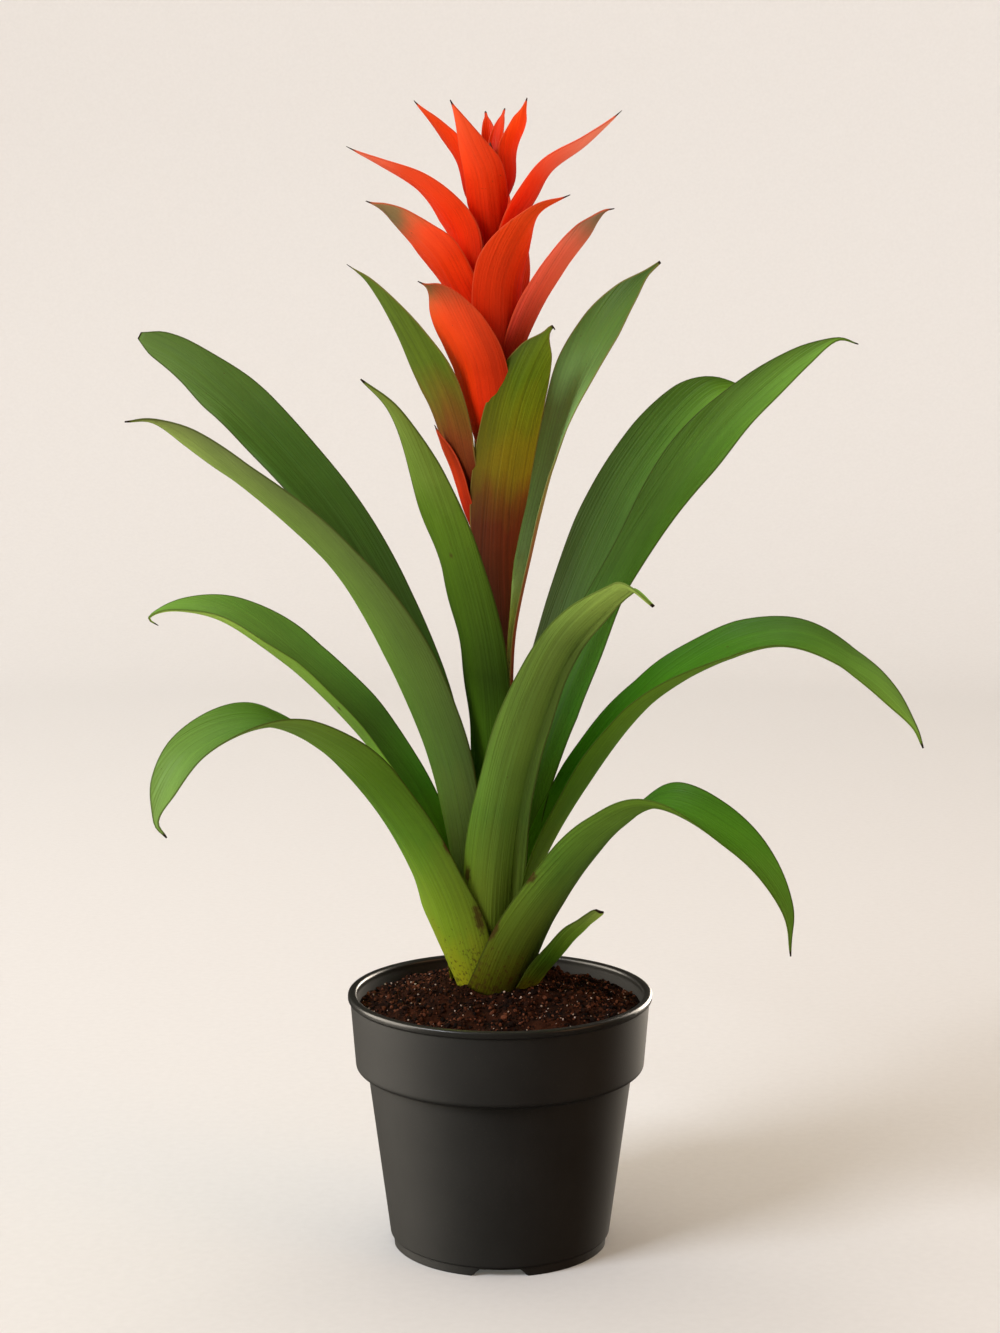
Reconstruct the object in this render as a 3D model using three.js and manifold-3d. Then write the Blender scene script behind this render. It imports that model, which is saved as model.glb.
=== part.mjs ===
// Potted guzmania in a 13 cm nursery pot. Millimetres, +Z up, origin on the pot's axis at the foot.
// The front of the plant faces -Y. Leaves and bracts are channelled blades that grow round one stem.
import * as THREE from 'three';
import Module from 'manifold-3d';

const wasm = await Module();
wasm.setup();

// Pot: outer radii and heights of the moulding.
const POT_HEIGHT = 110;
const RIM_RADIUS = 65;
const RIM_INNER_RADIUS = 61.3;
const COLLAR_TOP_RADIUS = 64.1;
const COLLAR_LOW_RADIUS = 61.7;
const COLLAR_Z = 79;
const BODY_TOP_RADIUS = 56.7;
const BODY_TOP_Z = 76;
const BODY_LOW_RADIUS = 47.3;
const FOOT_RADIUS = 46.3;
const FOOT_HEIGHT = 4;
const WALL = 1.9;
const FLOOR_TOP_Z = 6.2;
const POT_SIDES = 40;
const NOTCH_WIDTH = 23;
const NOTCH_HEIGHT = 3.2;
const NOTCH_COUNT = 4;
const DRAIN_RADIUS = 4.5;
const DRAIN_RING_RADIUS = 29;
const DRAIN_COUNT = 6;

// Soil: the mound and its fit in the pot.
const GAP = 0.3;
const SOIL_TOP_Z = 121;
const SOIL_SLOPE = 0.3;
const SOIL_HOLE_RADIUS = 21;
const SOIL_HOLE_FLOOR_Z = 96;
const SOIL_LUMP = 1.3;

// Stem: a short crown in the soil, going on as the flower stem.
const PLANT_X = -4;
const CROWN_RADIUS = 20.5;
const CROWN_TOP_Z = 110.1;
const CORE_RADIUS = 6.4;
const SCAPE_RADIUS = 3.8;
const SCAPE_TOP_Z = 321;
const HEAD_TOP_Z = 466;
const HEAD_TOP_X = -4;

// Blades.
const LEAF_THICKNESS = 1;
const BRACT_THICKNESS = 0.9;
const EDGE_THINNING = 0.3;

const group = new THREE.Group();
group.name = 'potted_guzmania';

function paint(name, color, roughness) {
  return new THREE.MeshStandardMaterial({ name, color, roughness, metalness: 0 });
}

function add(name, geometry, material) {
  const mesh = new THREE.Mesh(geometry, material);
  mesh.name = name;
  group.add(mesh);
}

// Joins and cuts work on closed bodies whose vertices are shared.
function toBody(geometry) {
  const position = geometry.getAttribute('position');
  const keys = new Map();
  const vertices = [];
  const remap = [];
  for (let i = 0; i < position.count; i += 1) {
    const point = [position.getX(i), position.getY(i), position.getZ(i)];
    const key = point.map((value) => Math.round(value * 1000)).join(' ');
    if (!keys.has(key)) {
      keys.set(key, vertices.length / 3);
      vertices.push(...point);
    }
    remap.push(keys.get(key));
  }
  const index = geometry.index ? Array.from(geometry.index.array) : remap.map((_, i) => i);
  let triangles = [];
  for (let i = 0; i < index.length; i += 3) {
    const [a, b, c] = [remap[index[i]], remap[index[i + 1]], remap[index[i + 2]]];
    if (a !== b && b !== c && c !== a) triangles.push([a, b, c]);
  }
  if (signedVolume(vertices, triangles) < 0) {
    triangles = triangles.map(([a, b, c]) => [a, c, b]);
  }
  return new wasm.Manifold(new wasm.Mesh({
    numProp: 3,
    vertProperties: new Float32Array(vertices),
    triVerts: new Uint32Array(triangles.flat()),
  }));
}

function signedVolume(vertices, triangles) {
  const corner = (i) => new THREE.Vector3(vertices[3 * i], vertices[3 * i + 1], vertices[3 * i + 2]);
  let volume = 0;
  for (const [a, b, c] of triangles) {
    volume += corner(a).dot(corner(b).cross(corner(c))) / 6;
  }
  return volume;
}

function toGeometry(body) {
  const mesh = body.getMesh();
  const geometry = new THREE.BufferGeometry();
  const points = [];
  for (let i = 0; i < mesh.vertProperties.length; i += mesh.numProp) {
    points.push(mesh.vertProperties[i], mesh.vertProperties[i + 1], mesh.vertProperties[i + 2]);
  }
  geometry.setAttribute('position', new THREE.Float32BufferAttribute(points, 3));
  geometry.setIndex(Array.from(mesh.triVerts));
  geometry.computeVertexNormals();
  return geometry;
}

// A lathe turned round +Z from pairs of radius and height.
function turned(profile, sides) {
  const geometry = new THREE.LatheGeometry(profile.map(([r, z]) => new THREE.Vector2(r, z)), sides);
  geometry.rotateX(Math.PI / 2);
  return geometry;
}

// Repeatable draws, for the lumps of the soil.
function drawer(seed) {
  let state = seed;
  return () => {
    state = (state * 1664525 + 1013904223) % 4294967296;
    return state / 4294967296;
  };
}

// Pot: one moulding, a rolled lip over a stepped collar, a tapered body and a notched foot.
const inside = {
  rim: [RIM_INNER_RADIUS - 0.1, POT_HEIGHT - 4],
  collar: [COLLAR_LOW_RADIUS - WALL - 0.4, COLLAR_Z + 1],
  step: [BODY_TOP_RADIUS - WALL, BODY_TOP_Z - 1],
  floor: [BODY_LOW_RADIUS - WALL, FLOOR_TOP_Z],
};
const potProfile = [
  [0, FOOT_HEIGHT],
  [FOOT_RADIUS - 2.4, FOOT_HEIGHT],
  [FOOT_RADIUS - 2.7, 0],
  [FOOT_RADIUS, 0],
  [FOOT_RADIUS + 0.2, FOOT_HEIGHT],
  [BODY_LOW_RADIUS, FOOT_HEIGHT + 0.4],
  [BODY_TOP_RADIUS, BODY_TOP_Z],
  [BODY_TOP_RADIUS + 1.6, BODY_TOP_Z + 0.7],
  [COLLAR_LOW_RADIUS - 0.8, COLLAR_Z - 1.2],
  [COLLAR_LOW_RADIUS, COLLAR_Z],
  [COLLAR_TOP_RADIUS, POT_HEIGHT - 3],
  [RIM_RADIUS - 0.1, POT_HEIGHT - 2.6],
  [RIM_RADIUS, POT_HEIGHT - 1.2],
  [RIM_RADIUS - 0.7, POT_HEIGHT - 0.2],
  [RIM_RADIUS - 1.8, POT_HEIGHT],
  [RIM_INNER_RADIUS + 0.9, POT_HEIGHT - 0.1],
  [RIM_INNER_RADIUS, POT_HEIGHT - 1.2],
  inside.rim,
  inside.collar,
  inside.step,
  inside.floor,
  [0, FLOOR_TOP_Z],
];
let pot = toBody(turned(potProfile, POT_SIDES));
const notchOutline = new THREE.Shape([
  new THREE.Vector2(-NOTCH_WIDTH / 2, -1),
  new THREE.Vector2(NOTCH_WIDTH / 2, -1),
  new THREE.Vector2(NOTCH_WIDTH / 2 - 3, NOTCH_HEIGHT),
  new THREE.Vector2(-NOTCH_WIDTH / 2 + 3, NOTCH_HEIGHT),
]);
for (let i = 0; i < NOTCH_COUNT; i += 1) {
  const notch = new THREE.ExtrudeGeometry(notchOutline, { depth: 12, bevelEnabled: false });
  notch.rotateX(Math.PI / 2);
  notch.translate(0, -FOOT_RADIUS + 8, 0);
  notch.rotateZ((i * 2 * Math.PI) / NOTCH_COUNT);
  pot = pot.subtract(toBody(notch));
}
for (let i = 0; i < DRAIN_COUNT; i += 1) {
  const angle = ((i + 0.5) * 2 * Math.PI) / DRAIN_COUNT;
  const drain = new THREE.CylinderGeometry(DRAIN_RADIUS, DRAIN_RADIUS, 6, 16);
  drain.rotateX(Math.PI / 2);
  drain.translate(DRAIN_RING_RADIUS * Math.cos(angle), DRAIN_RING_RADIUS * Math.sin(angle), FOOT_HEIGHT + 1);
  pot = pot.subtract(toBody(drain));
}
add('pot', toGeometry(pot), paint('pot_plastic', '#26282a', 0.5));

// Soil: it fills the pot and is mounded round the crown, which stands in a plain hole.
const random = drawer(7);
const soilSides = 36;
const soilRadii = [12, 24, 33, 42, 50, 56, inside.rim[0] - GAP - 1];
const lumps = soilRadii.map(() => Array.from({ length: soilSides }, () => (random() - 0.5) * 2 * SOIL_LUMP));
const wallRadii = [
  [inside.rim[0] - GAP - 1.1, 101.4],
  [inside.collar[0] - GAP, inside.collar[1] + 0.4],
  [inside.step[0] - GAP, inside.step[1] - 0.1],
  [inside.floor[0] - GAP, inside.floor[1] + GAP],
];
const soilPoints = [0, 0, SOIL_TOP_Z];
for (let ring = 0; ring < soilRadii.length; ring += 1) {
  for (let i = 0; i < soilSides; i += 1) {
    const angle = ((i + 0.5 * (ring % 2)) * 2 * Math.PI) / soilSides;
    const edge = ring === soilRadii.length - 1 ? 0.3 : 1;
    const z = SOIL_TOP_Z - SOIL_SLOPE * soilRadii[ring] + lumps[ring][i] * edge;
    soilPoints.push(soilRadii[ring] * Math.cos(angle), soilRadii[ring] * Math.sin(angle), z);
  }
}
for (const [r, z] of wallRadii) {
  for (let i = 0; i < soilSides; i += 1) {
    const angle = (i * 2 * Math.PI) / soilSides;
    soilPoints.push(r * Math.cos(angle), r * Math.sin(angle), z);
  }
}
const soilRings = soilRadii.length + wallRadii.length;
const soilFaces = [];
for (let i = 0; i < soilSides; i += 1) {
  const next = (i + 1) % soilSides;
  soilFaces.push(0, 1 + i, 1 + next);
  for (let ring = 0; ring < soilRings - 1; ring += 1) {
    const [a, b] = [1 + ring * soilSides + i, 1 + ring * soilSides + next];
    const [c, d] = [a + soilSides, b + soilSides];
    if (ring % 2 === 0 && ring < soilRadii.length - 1) soilFaces.push(a, c, b, b, c, d);
    else soilFaces.push(a, c, d, a, d, b);
  }
}
const soilFloor = soilPoints.length / 3;
soilPoints.push(0, 0, inside.floor[1] + GAP);
for (let i = 0; i < soilSides; i += 1) {
  const last = 1 + (soilRings - 1) * soilSides;
  soilFaces.push(soilFloor, last + ((i + 1) % soilSides), last + i);
}
const soilGeometry = new THREE.BufferGeometry();
soilGeometry.setAttribute('position', new THREE.Float32BufferAttribute(soilPoints, 3));
soilGeometry.setIndex(soilFaces);
const hole = new THREE.CylinderGeometry(SOIL_HOLE_RADIUS, SOIL_HOLE_RADIUS, 40, 32);
hole.rotateX(Math.PI / 2);
hole.translate(PLANT_X, 0, SOIL_HOLE_FLOOR_Z + 20);
add('soil', toGeometry(toBody(soilGeometry).subtract(toBody(hole))), paint('peat', '#3a1f16', 0.95));

// Crown and flower stem: one stem, thick in the soil, thin above the leaves.
const stem = turned([
  [0, SOIL_HOLE_FLOOR_Z + GAP],
  [CROWN_RADIUS, SOIL_HOLE_FLOOR_Z + GAP],
  [CROWN_RADIUS, CROWN_TOP_Z - 0.8],
  [CROWN_RADIUS - 1, CROWN_TOP_Z],
  [CORE_RADIUS + 1, CROWN_TOP_Z + 0.1],
  [CORE_RADIUS, CROWN_TOP_Z + 3],
  [CORE_RADIUS - 0.5, CROWN_TOP_Z + 30],
  [SCAPE_RADIUS + 1, CROWN_TOP_Z + 70],
  [SCAPE_RADIUS, CROWN_TOP_Z + 150],
  [SCAPE_RADIUS, SCAPE_TOP_Z],
  [0, SCAPE_TOP_Z],
], 20);
const lean = Math.atan(-PLANT_X / (SCAPE_TOP_Z - CROWN_TOP_Z));
stem.translate(0, 0, -CROWN_TOP_Z);
stem.applyMatrix4(new THREE.Matrix4().set(
  1, 0, Math.tan(lean), 0,
  0, 1, 0, 0,
  0, 0, 1, 0,
  0, 0, 0, 1,
));
stem.translate(PLANT_X, 0, CROWN_TOP_Z);
add('crown_and_scape', toGeometry(toBody(stem)), paint('scape_skin', '#5a3a24', 0.6));

function smooth(x) {
  const t = Math.min(1, Math.max(0, x));
  return t * t * (3 - 2 * t);
}

// A value read along the blade from a short list, evenly spaced.
function along(list, u) {
  const at = Math.min(0.999999, Math.max(0, u)) * (list.length - 1);
  const i = Math.floor(at);
  return list[i] + (list[i + 1] - list[i]) * (at - i);
}

// Width of the flattened blade: sheath at the root, strap, taper, drawn-out tip.
function bladeWidth(leaf, u) {
  const strap = leaf.sheath + (leaf.width - leaf.sheath) * smooth(u / leaf.open);
  const k = Math.min(1, Math.max(0, (u - leaf.taper) / (leaf.tail - leaf.taper)));
  const drip = leaf.drip * (1 - 0.6 * Math.max(0, (u - leaf.tail) / (1 - leaf.tail)));
  return Math.max(strap * (1 - k ** leaf.point), drip);
}

// A blade follows its midrib. Its section is an arc, closed round the stem at the root and open above.
function blade(leaf, stations, strips, thickness) {
  const curve = new THREE.CatmullRomCurve3(leaf.path.map((p) => new THREE.Vector3(...p)), false, 'centripetal');
  curve.arcLengthDivisions = 400;
  const middle = curve.getSpacedPoints(stations);
  const turn = THREE.MathUtils.degToRad(leaf.turn);
  const side = new THREE.Vector3(Math.sin(turn), -Math.cos(turn), 0);
  const rootRadius = Math.max(3, Math.hypot(leaf.path[0][0] - leaf.axis, leaf.path[0][1]));
  const rootHalf = Math.min(leaf.sheath / (2 * rootRadius), THREE.MathUtils.degToRad(80));
  const upper = [];
  const lower = [];
  for (let i = 0; i <= stations; i += 1) {
    const u = i / stations;
    const tangent = middle[Math.min(stations, i + 1)].clone().sub(middle[Math.max(0, i - 1)]).normalize();
    side.addScaledVector(tangent, -side.dot(tangent)).normalize();
    const up = new THREE.Vector3().crossVectors(side, tangent);
    const roll = THREE.MathUtils.degToRad(along(leaf.roll, u));
    const across = side.clone().multiplyScalar(Math.cos(roll)).addScaledVector(up, Math.sin(roll));
    const inward = up.clone().multiplyScalar(Math.cos(roll)).addScaledVector(side, -Math.sin(roll));
    const cupMiddle = THREE.MathUtils.degToRad(leaf.cup[0]);
    const cupTip = THREE.MathUtils.degToRad(leaf.cup[1]);
    let half = rootHalf + (cupMiddle - rootHalf) * smooth(u / leaf.open);
    if (u > 0.4) half = cupMiddle + ((cupTip - cupMiddle) * (u - 0.4)) / 0.6;
    const radius = bladeWidth(leaf, u) / (2 * half);
    for (let j = 0; j <= strips; j += 1) {
      const v = (2 * j) / strips - 1;
      const a = v * half;
      const point = middle[i].clone()
        .addScaledVector(across, radius * Math.sin(a))
        .addScaledVector(inward, radius * (1 - Math.cos(a)));
      const normal = inward.clone().multiplyScalar(Math.cos(a)).addScaledVector(across, -Math.sin(a));
      const offset = (thickness * (1 - EDGE_THINNING * v * v)) / 2;
      upper.push(point.clone().addScaledVector(normal, offset));
      lower.push(point.clone().addScaledVector(normal, -offset));
    }
  }
  const faces = [];
  const at = (i, j) => i * (strips + 1) + j;
  const low = upper.length;
  for (let i = 0; i < stations; i += 1) {
    for (let j = 0; j < strips; j += 1) {
      const [a, b, c, d] = [at(i, j), at(i, j + 1), at(i + 1, j + 1), at(i + 1, j)];
      faces.push(a, b, c, a, c, d, a + low, c + low, b + low, a + low, d + low, c + low);
    }
    const [e, f, g, h] = [at(i, 0), at(i + 1, 0), at(i, strips), at(i + 1, strips)];
    faces.push(e, f, f + low, e, f + low, e + low);
    faces.push(g, h + low, h, g, g + low, h + low);
  }
  for (let j = 0; j < strips; j += 1) {
    const [a, b] = [at(0, j), at(0, j + 1)];
    const [c, d] = [at(stations, j), at(stations, j + 1)];
    faces.push(a, b + low, b, a, a + low, b + low);
    faces.push(c, d, d + low, c, d + low, c + low);
  }
  const geometry = new THREE.BufferGeometry();
  const points = [...upper, ...lower].flatMap((p) => [p.x, p.y, p.z]);
  geometry.setAttribute('position', new THREE.Float32BufferAttribute(points, 3));
  geometry.setIndex(faces);
  return geometry;
}

// Rosette leaves. turn is the compass angle of the root round the stem, path the midrib from root to tip,
// roll turns the blade about its midrib and cup is half the angle of its channel, both in degrees.
const leafForm = { axis: PLANT_X, sheath: 16, open: 0.24, taper: 0.55, point: 2, tail: 0.96, drip: 1.7, cup: [40, 25] };
const leaves = {
  leaf_upper_left: {
    turn: 150, width: 38, sheath: 12, open: 0.36, cup: [32, 14], taper: 0.66, point: 2.8, tail: 0.985,
    roll: [0, 5, 15, 25, 35, 40],
    path: [[-10, 5, 114], [-16, 23, 162], [-37, 47, 233], [-68, 82, 295], [-112, 108, 348],
      [-142, 123, 375], [-167, 129, 387]],
  },
  leaf_left_front: {
    turn: 208, width: 35, sheath: 15,
    roll: [0, -10, -20, -24, -22],
    path: [[-14, -6, 112], [-17, -11, 161], [-27, -23, 222], [-54, -42, 284], [-93, -52, 326],
      [-122, -58, 348], [-145, -62, 354]],
  },
  leaf_left_hooked: {
    turn: 160, width: 30, sheath: 12, open: 0.34, cup: [42, 25],
    roll: [10, 20, 20, 20, 12],
    path: [[-18, 5, 112], [-28, 2, 170], [-47, 8, 210], [-82, 14, 245], [-118, 20, 268],
      [-138, 24, 272], [-148, 26, 268], [-147, 26, 265]],
  },
  leaf_low_left: {
    turn: 215, width: 32, sheath: 24, cup: [38, 25],
    roll: [-5, -25, -18, 5, 35, 50],
    path: [[-14, -10, 111], [-22, -25, 158], [-44, -40, 196], [-69, -60, 224], [-97, -76, 239],
      [-120, -88, 229], [-131, -94, 209], [-128, -95, 196]],
  },
  leaf_upright_left: {
    turn: 250, width: 28, sheath: 15, open: 0.42, cup: [38, 20],
    roll: [0, 0, 0],
    path: [[-7, -9, 114], [-6, -19, 196], [-12, -48, 275], [-27, -72, 329], [-41, -88, 356], [-52, -98, 371]],
  },
  leaf_front_curled: {
    turn: 278, width: 29, sheath: 18, cup: [45, 30],
    roll: [0, -5, -5, -5],
    path: [[-1, -14, 113], [-3, -19, 137], [-3, -33, 178], [8, -62, 229], [24, -92, 268],
      [40, -116, 289], [49, -124, 295], [56, -128, 290]],
  },
  leaf_right_arching: {
    turn: 352, width: 31, sheath: 13, open: 0.36, cup: [45, 28],
    roll: [0, -8, -10, -14, -25],
    path: [[8, -3, 112], [8, -2, 166], [33, -16, 209], [66, -28, 246], [108, -44, 268],
      [143, -54, 255], [161, -59, 237], [168, -60, 225]],
  },
  leaf_low_right: {
    turn: 285, width: 31, sheath: 30, cup: [42, 28],
    roll: [0, 0, -5, -35, -45],
    path: [[0, -17, 111], [5, -28, 141], [24, -40, 171], [53, -58, 198], [77, -72, 204],
      [95, -82, 192], [109, -88, 170], [112, -90, 148]],
  },
  leaf_cut_short: {
    turn: 315, width: 14, sheath: 14, cup: [35, 20], taper: 0.7, drip: 4,
    roll: [0, 10, 20],
    path: [[12, -15, 118], [19, -24, 129], [30, -32, 142], [41, -40, 154]],
  },
  leaf_upper_right: {
    turn: 42, width: 36, sheath: 14, open: 0.36, cup: [40, 22], taper: 0.6, point: 2.3,
    roll: [0, -15, -25, -30, -30],
    path: [[7, 6, 113], [14, 6, 140], [18, 16, 194], [36, 34, 252], [66, 58, 304],
      [104, 82, 352], [135, 96, 378], [162, 102, 385]],
  },
  leaf_right_behind: {
    turn: 55, width: 34, sheath: 10, open: 0.36, cup: [38, 20], taper: 0.6, point: 2.4,
    roll: [0, -10, -20, -20],
    path: [[1, 7, 114], [1, 17, 142], [18, 37, 212], [38, 72, 270], [65, 104, 323],
      [91, 122, 360], [112, 130, 367]],
  },
  leaf_back_upright: {
    turn: 95, width: 25, sheath: 10, open: 0.36, cup: [38, 22],
    roll: [0, 0],
    path: [[-3, 10.5, 113], [-5, 43, 184], [-9, 82, 251], [-7, 104, 313], [-7, 122, 358], [-6, 131, 381]],
  },
  leaf_back_low: {
    turn: 92, width: 30, sheath: 22, cup: [36, 20], taper: 0.5,
    roll: [0, 0, 5],
    path: [[-5, 14.5, 110.6], [-5, 34, 150], [-5, 67, 188], [-4, 100, 215], [-2, 131, 222]],
  },
};
for (const [name, form] of Object.entries(leaves)) {
  const leaf = { ...leafForm, ...form };
  const stations = name === 'leaf_cut_short' ? 7 : 16;
  add(name, toGeometry(toBody(blade(leaf, stations, 4, LEAF_THICKNESS))), paint(`${name}_skin`, '#3f7a2c', 0.5));
}

// Scape bracts: green leaves on the flower stem under the head, and one red one low on the left.
const bractForm = { axis: -1, sheath: 12, open: 0.3, taper: 0.5, point: 2, tail: 0.96, drip: 1.4, cup: [42, 20] };
const scapeBracts = {
  bract_green_left: {
    turn: 190, width: 24, color: '#4d6f2b',
    roll: [0, -15, -22, -25],
    path: [[-5.7, 0, 318], [-15, -2, 341], [-22, -6, 363], [-36, -11, 389], [-50, -14, 405], [-62, -16, 415]],
  },
  bract_green_right: {
    turn: 12, width: 24, sheath: 9, color: '#4f7540',
    roll: [0, 10, 20, 22],
    path: [[4.4, 1.2, 268], [8.5, 3, 294], [13.5, 1, 328], [25, -4, 364], [41, -9, 397], [54, -12, 410], [64, -14, 416]],
  },
  bract_front_two_tone: {
    turn: 270, width: 25, sheath: 10, open: 0.5, taper: 0.62, point: 2.4, cup: [44, 26], color: '#7d5a26',
    roll: [0, 0, 5, 12],
    path: [[-1, -5.4, 272], [0, -10, 295], [2, -14, 329], [9, -19, 361], [15, -21, 380], [21, -22, 390]],
  },
  bract_red_low: {
    turn: 200, width: 12, sheath: 7, open: 0.5, color: '#d8401f',
    roll: [0, -10],
    path: [[-5.6, -1.6, 296], [-13, -4, 318], [-20, -5, 336], [-26, -6, 349]],
  },
  bract_green_back: {
    turn: 105, width: 16, sheath: 9, color: '#4d6f2b',
    roll: [0, 0],
    path: [[-3, 5.3, 290], [-4, 13, 325], [-4, 24, 362], [-5, 38, 395]],
  },
};
for (const [name, form] of Object.entries(scapeBracts)) {
  const bract = { ...bractForm, ...form };
  add(name, toGeometry(toBody(blade(bract, 10, 4, BRACT_THICKNESS))), paint(`${name}_skin`, form.color, 0.5));
}

// Flower head: the red bracts with the end of the stem that carries them, grown together as one body.
const headForm = { axis: -2, sheath: 11, open: 0.4, taper: 0.45, point: 1.8, tail: 0.96, drip: 1.3, cup: [45, 22] };
const headBracts = [
  { turn: 235, width: 25, taper: 0.55, point: 2.2, cup: [42, 22], roll: [0, 0, -5],
    path: [[-3, -3, 330], [-12, -11, 361], [-15, -15, 378], [-22, -20, 396], [-27, -23, 405], [-33, -25, 409]] },
  { turn: 290, width: 21, taper: 0.5, cup: [50, 25], roll: [0, 0, 5, 10],
    path: [[0, -3, 362], [0, -11, 390], [0, -15, 408], [4, -20, 426], [13, -24, 436], [28, -27, 444]] },
  { turn: 330, width: 16, point: 2.2, roll: [0, 15, 15],
    path: [[2, -2, 365], [11, -9, 395], [17, -13, 409], [27, -16, 423], [36, -18, 434], [46, -19, 438]] },
  { turn: 205, width: 20, roll: [0, -20, -20],
    path: [[-4, -3, 380], [-15, -8, 408], [-23, -12, 421], [-34, -16, 431], [-43, -18, 438], [-54, -19, 441]] },
  { turn: 185, width: 20, roll: [0, -20, -20],
    path: [[-4, 0, 388], [-12, -4, 422], [-20, -7, 440], [-34, -10, 451], [-49, -12, 458], [-63, -13, 462]] },
  { turn: 350, width: 17, roll: [0, 20, 25, 15],
    path: [[-1, -1, 412], [4, -5, 434], [11, -9, 448], [23, -12, 459], [37, -14, 469], [49, -15, 477]] },
  { turn: 265, width: 18, taper: 0.5, cup: [48, 24], roll: [0, 0, 0],
    path: [[-3, -2, 415], [-4, -10, 442], [-6, -13, 456], [-10, -15, 465], [-16, -17, 474], [-21, -17, 481]] },
  { turn: 180, width: 13, roll: [0, -20],
    path: [[-5, 1, 435], [-14, -1, 457], [-20, -2, 466], [-27, -3, 473], [-36, -4, 481]] },
  { turn: 350, width: 13, cup: [50, 26], roll: [0, 15],
    path: [[-2, 0, 435], [2, -2, 454], [6, -3, 466], [9, -4, 474], [11, -5, 483]] },
  { turn: 60, width: 7, sheath: 5, cup: [50, 26], roll: [0, 0],
    path: [[-3, 1, 452], [-1, 4, 468], [2, 7, 480]] },
  { turn: 100, width: 7, sheath: 6, cup: [50, 26], roll: [0, 0],
    path: [[-4, 1, 455], [-5, 6, 471], [-6, 9, 479]] },
  { turn: 90, width: 20, roll: [0, 0],
    path: [[-1, 2, 345], [0, 11, 370], [0, 20, 392], [-1, 34, 412]] },
  { turn: 55, width: 17, roll: [0, 0],
    path: [[0, 1, 365], [4, 8, 389], [8, 17, 410], [12, 29, 428]] },
  { turn: 125, width: 18, roll: [0, 0],
    path: [[-2, 2, 375], [-7, 9, 400], [-12, 16, 422], [-17, 26, 440]] },
  { turn: 80, width: 15, roll: [0, 0],
    path: [[-2, 2, 396], [-1, 8, 417], [0, 17, 438], [2, 28, 455]] },
  { turn: 100, width: 13, roll: [0, 0],
    path: [[-3, 2, 420], [-4, 8, 440], [-5, 14, 456], [-6, 21, 469]] },
];
const spindle = turned([
  [0, SCAPE_TOP_Z + GAP],
  [SCAPE_RADIUS, SCAPE_TOP_Z + GAP],
  [SCAPE_RADIUS + 0.4, 380],
  [SCAPE_RADIUS, 430],
  [2.4, HEAD_TOP_Z - 6],
  [0, HEAD_TOP_Z],
], 14);
spindle.translate(0, 0, -SCAPE_TOP_Z);
spindle.applyMatrix4(new THREE.Matrix4().set(
  1, 0, HEAD_TOP_X / (HEAD_TOP_Z - SCAPE_TOP_Z), 0,
  0, 1, 0, 0,
  0, 0, 1, 0,
  0, 0, 0, 1,
));
spindle.translate(0, 0, SCAPE_TOP_Z);
let head = toBody(spindle);
for (const form of headBracts) {
  head = head.add(toBody(blade({ ...headForm, ...form }, 9, 4, BRACT_THICKNESS)));
}
add('flower_head', toGeometry(head), paint('head_bract_skin', '#e0421f', 0.45));

export default group;
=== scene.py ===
# Potted guzmania: a rosette of strap leaves with a flower head of red bracts, in a 13 cm nursery pot.
# Points of the plant and the pot are in millimetres and become metres as each mesh is made. The studio and
# the camera are in metres. The front of the plant faces -Y.
import math

import bpy
import mathutils
import numpy as np
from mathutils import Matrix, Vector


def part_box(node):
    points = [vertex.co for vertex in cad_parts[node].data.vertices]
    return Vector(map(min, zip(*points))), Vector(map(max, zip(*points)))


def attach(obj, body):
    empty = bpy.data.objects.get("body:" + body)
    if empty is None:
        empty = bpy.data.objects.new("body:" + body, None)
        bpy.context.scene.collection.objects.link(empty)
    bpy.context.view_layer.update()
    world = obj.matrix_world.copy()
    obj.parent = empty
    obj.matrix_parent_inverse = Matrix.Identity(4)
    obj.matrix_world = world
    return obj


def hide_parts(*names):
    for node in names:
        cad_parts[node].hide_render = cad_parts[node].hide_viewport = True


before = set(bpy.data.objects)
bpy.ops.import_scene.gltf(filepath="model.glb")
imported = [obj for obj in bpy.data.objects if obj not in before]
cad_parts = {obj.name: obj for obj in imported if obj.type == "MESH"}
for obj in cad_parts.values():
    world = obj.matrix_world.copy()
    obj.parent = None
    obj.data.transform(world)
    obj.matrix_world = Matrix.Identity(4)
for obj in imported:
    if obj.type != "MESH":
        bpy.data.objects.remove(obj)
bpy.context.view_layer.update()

# Pot: one injection moulding in black polypropylene. It has a rolled lip, a stepped collar that lets pots
# stack, a tapered wall, and a foot ring with four drain notches round a floor with six holes.
MM = 0.001
RIM_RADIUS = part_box("pot")[1].x / MM
POT_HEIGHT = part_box("pot")[1].z / MM
WALL = 1.9
LIP_WIDTH = 3.7
LIP_DEPTH = 2.9
COLLAR_LOW_RADIUS = 61.7
COLLAR_Z = 79
BODY_TOP_RADIUS = 56.7
BODY_TOP_Z = 76
BODY_LOW_RADIUS = 47.3
FOOT_RADIUS = 46.3
FOOT_HEIGHT = 4
FLOOR_TOP_Z = 6.2
POT_SIDES = 240
NOTCH_WIDTH = 23
NOTCH_HEIGHT = 3.2
NOTCH_SLANT = 2.6
NOTCH_COUNT = 4
DRAIN_RADIUS = 4.5
DRAIN_RING_RADIUS = 29
DRAIN_COUNT = 6


def to_linear(hex_colour):
    """Turns an sRGB hex colour into the linear red, green, blue and alpha that a socket takes."""
    shares = [int(hex_colour[i:i + 2], 16) / 255 for i in (1, 3, 5)]
    return [s / 12.92 if s <= 0.04045 else ((s + 0.055) / 1.055) ** 2.4 for s in shares] + [1.0]


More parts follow.
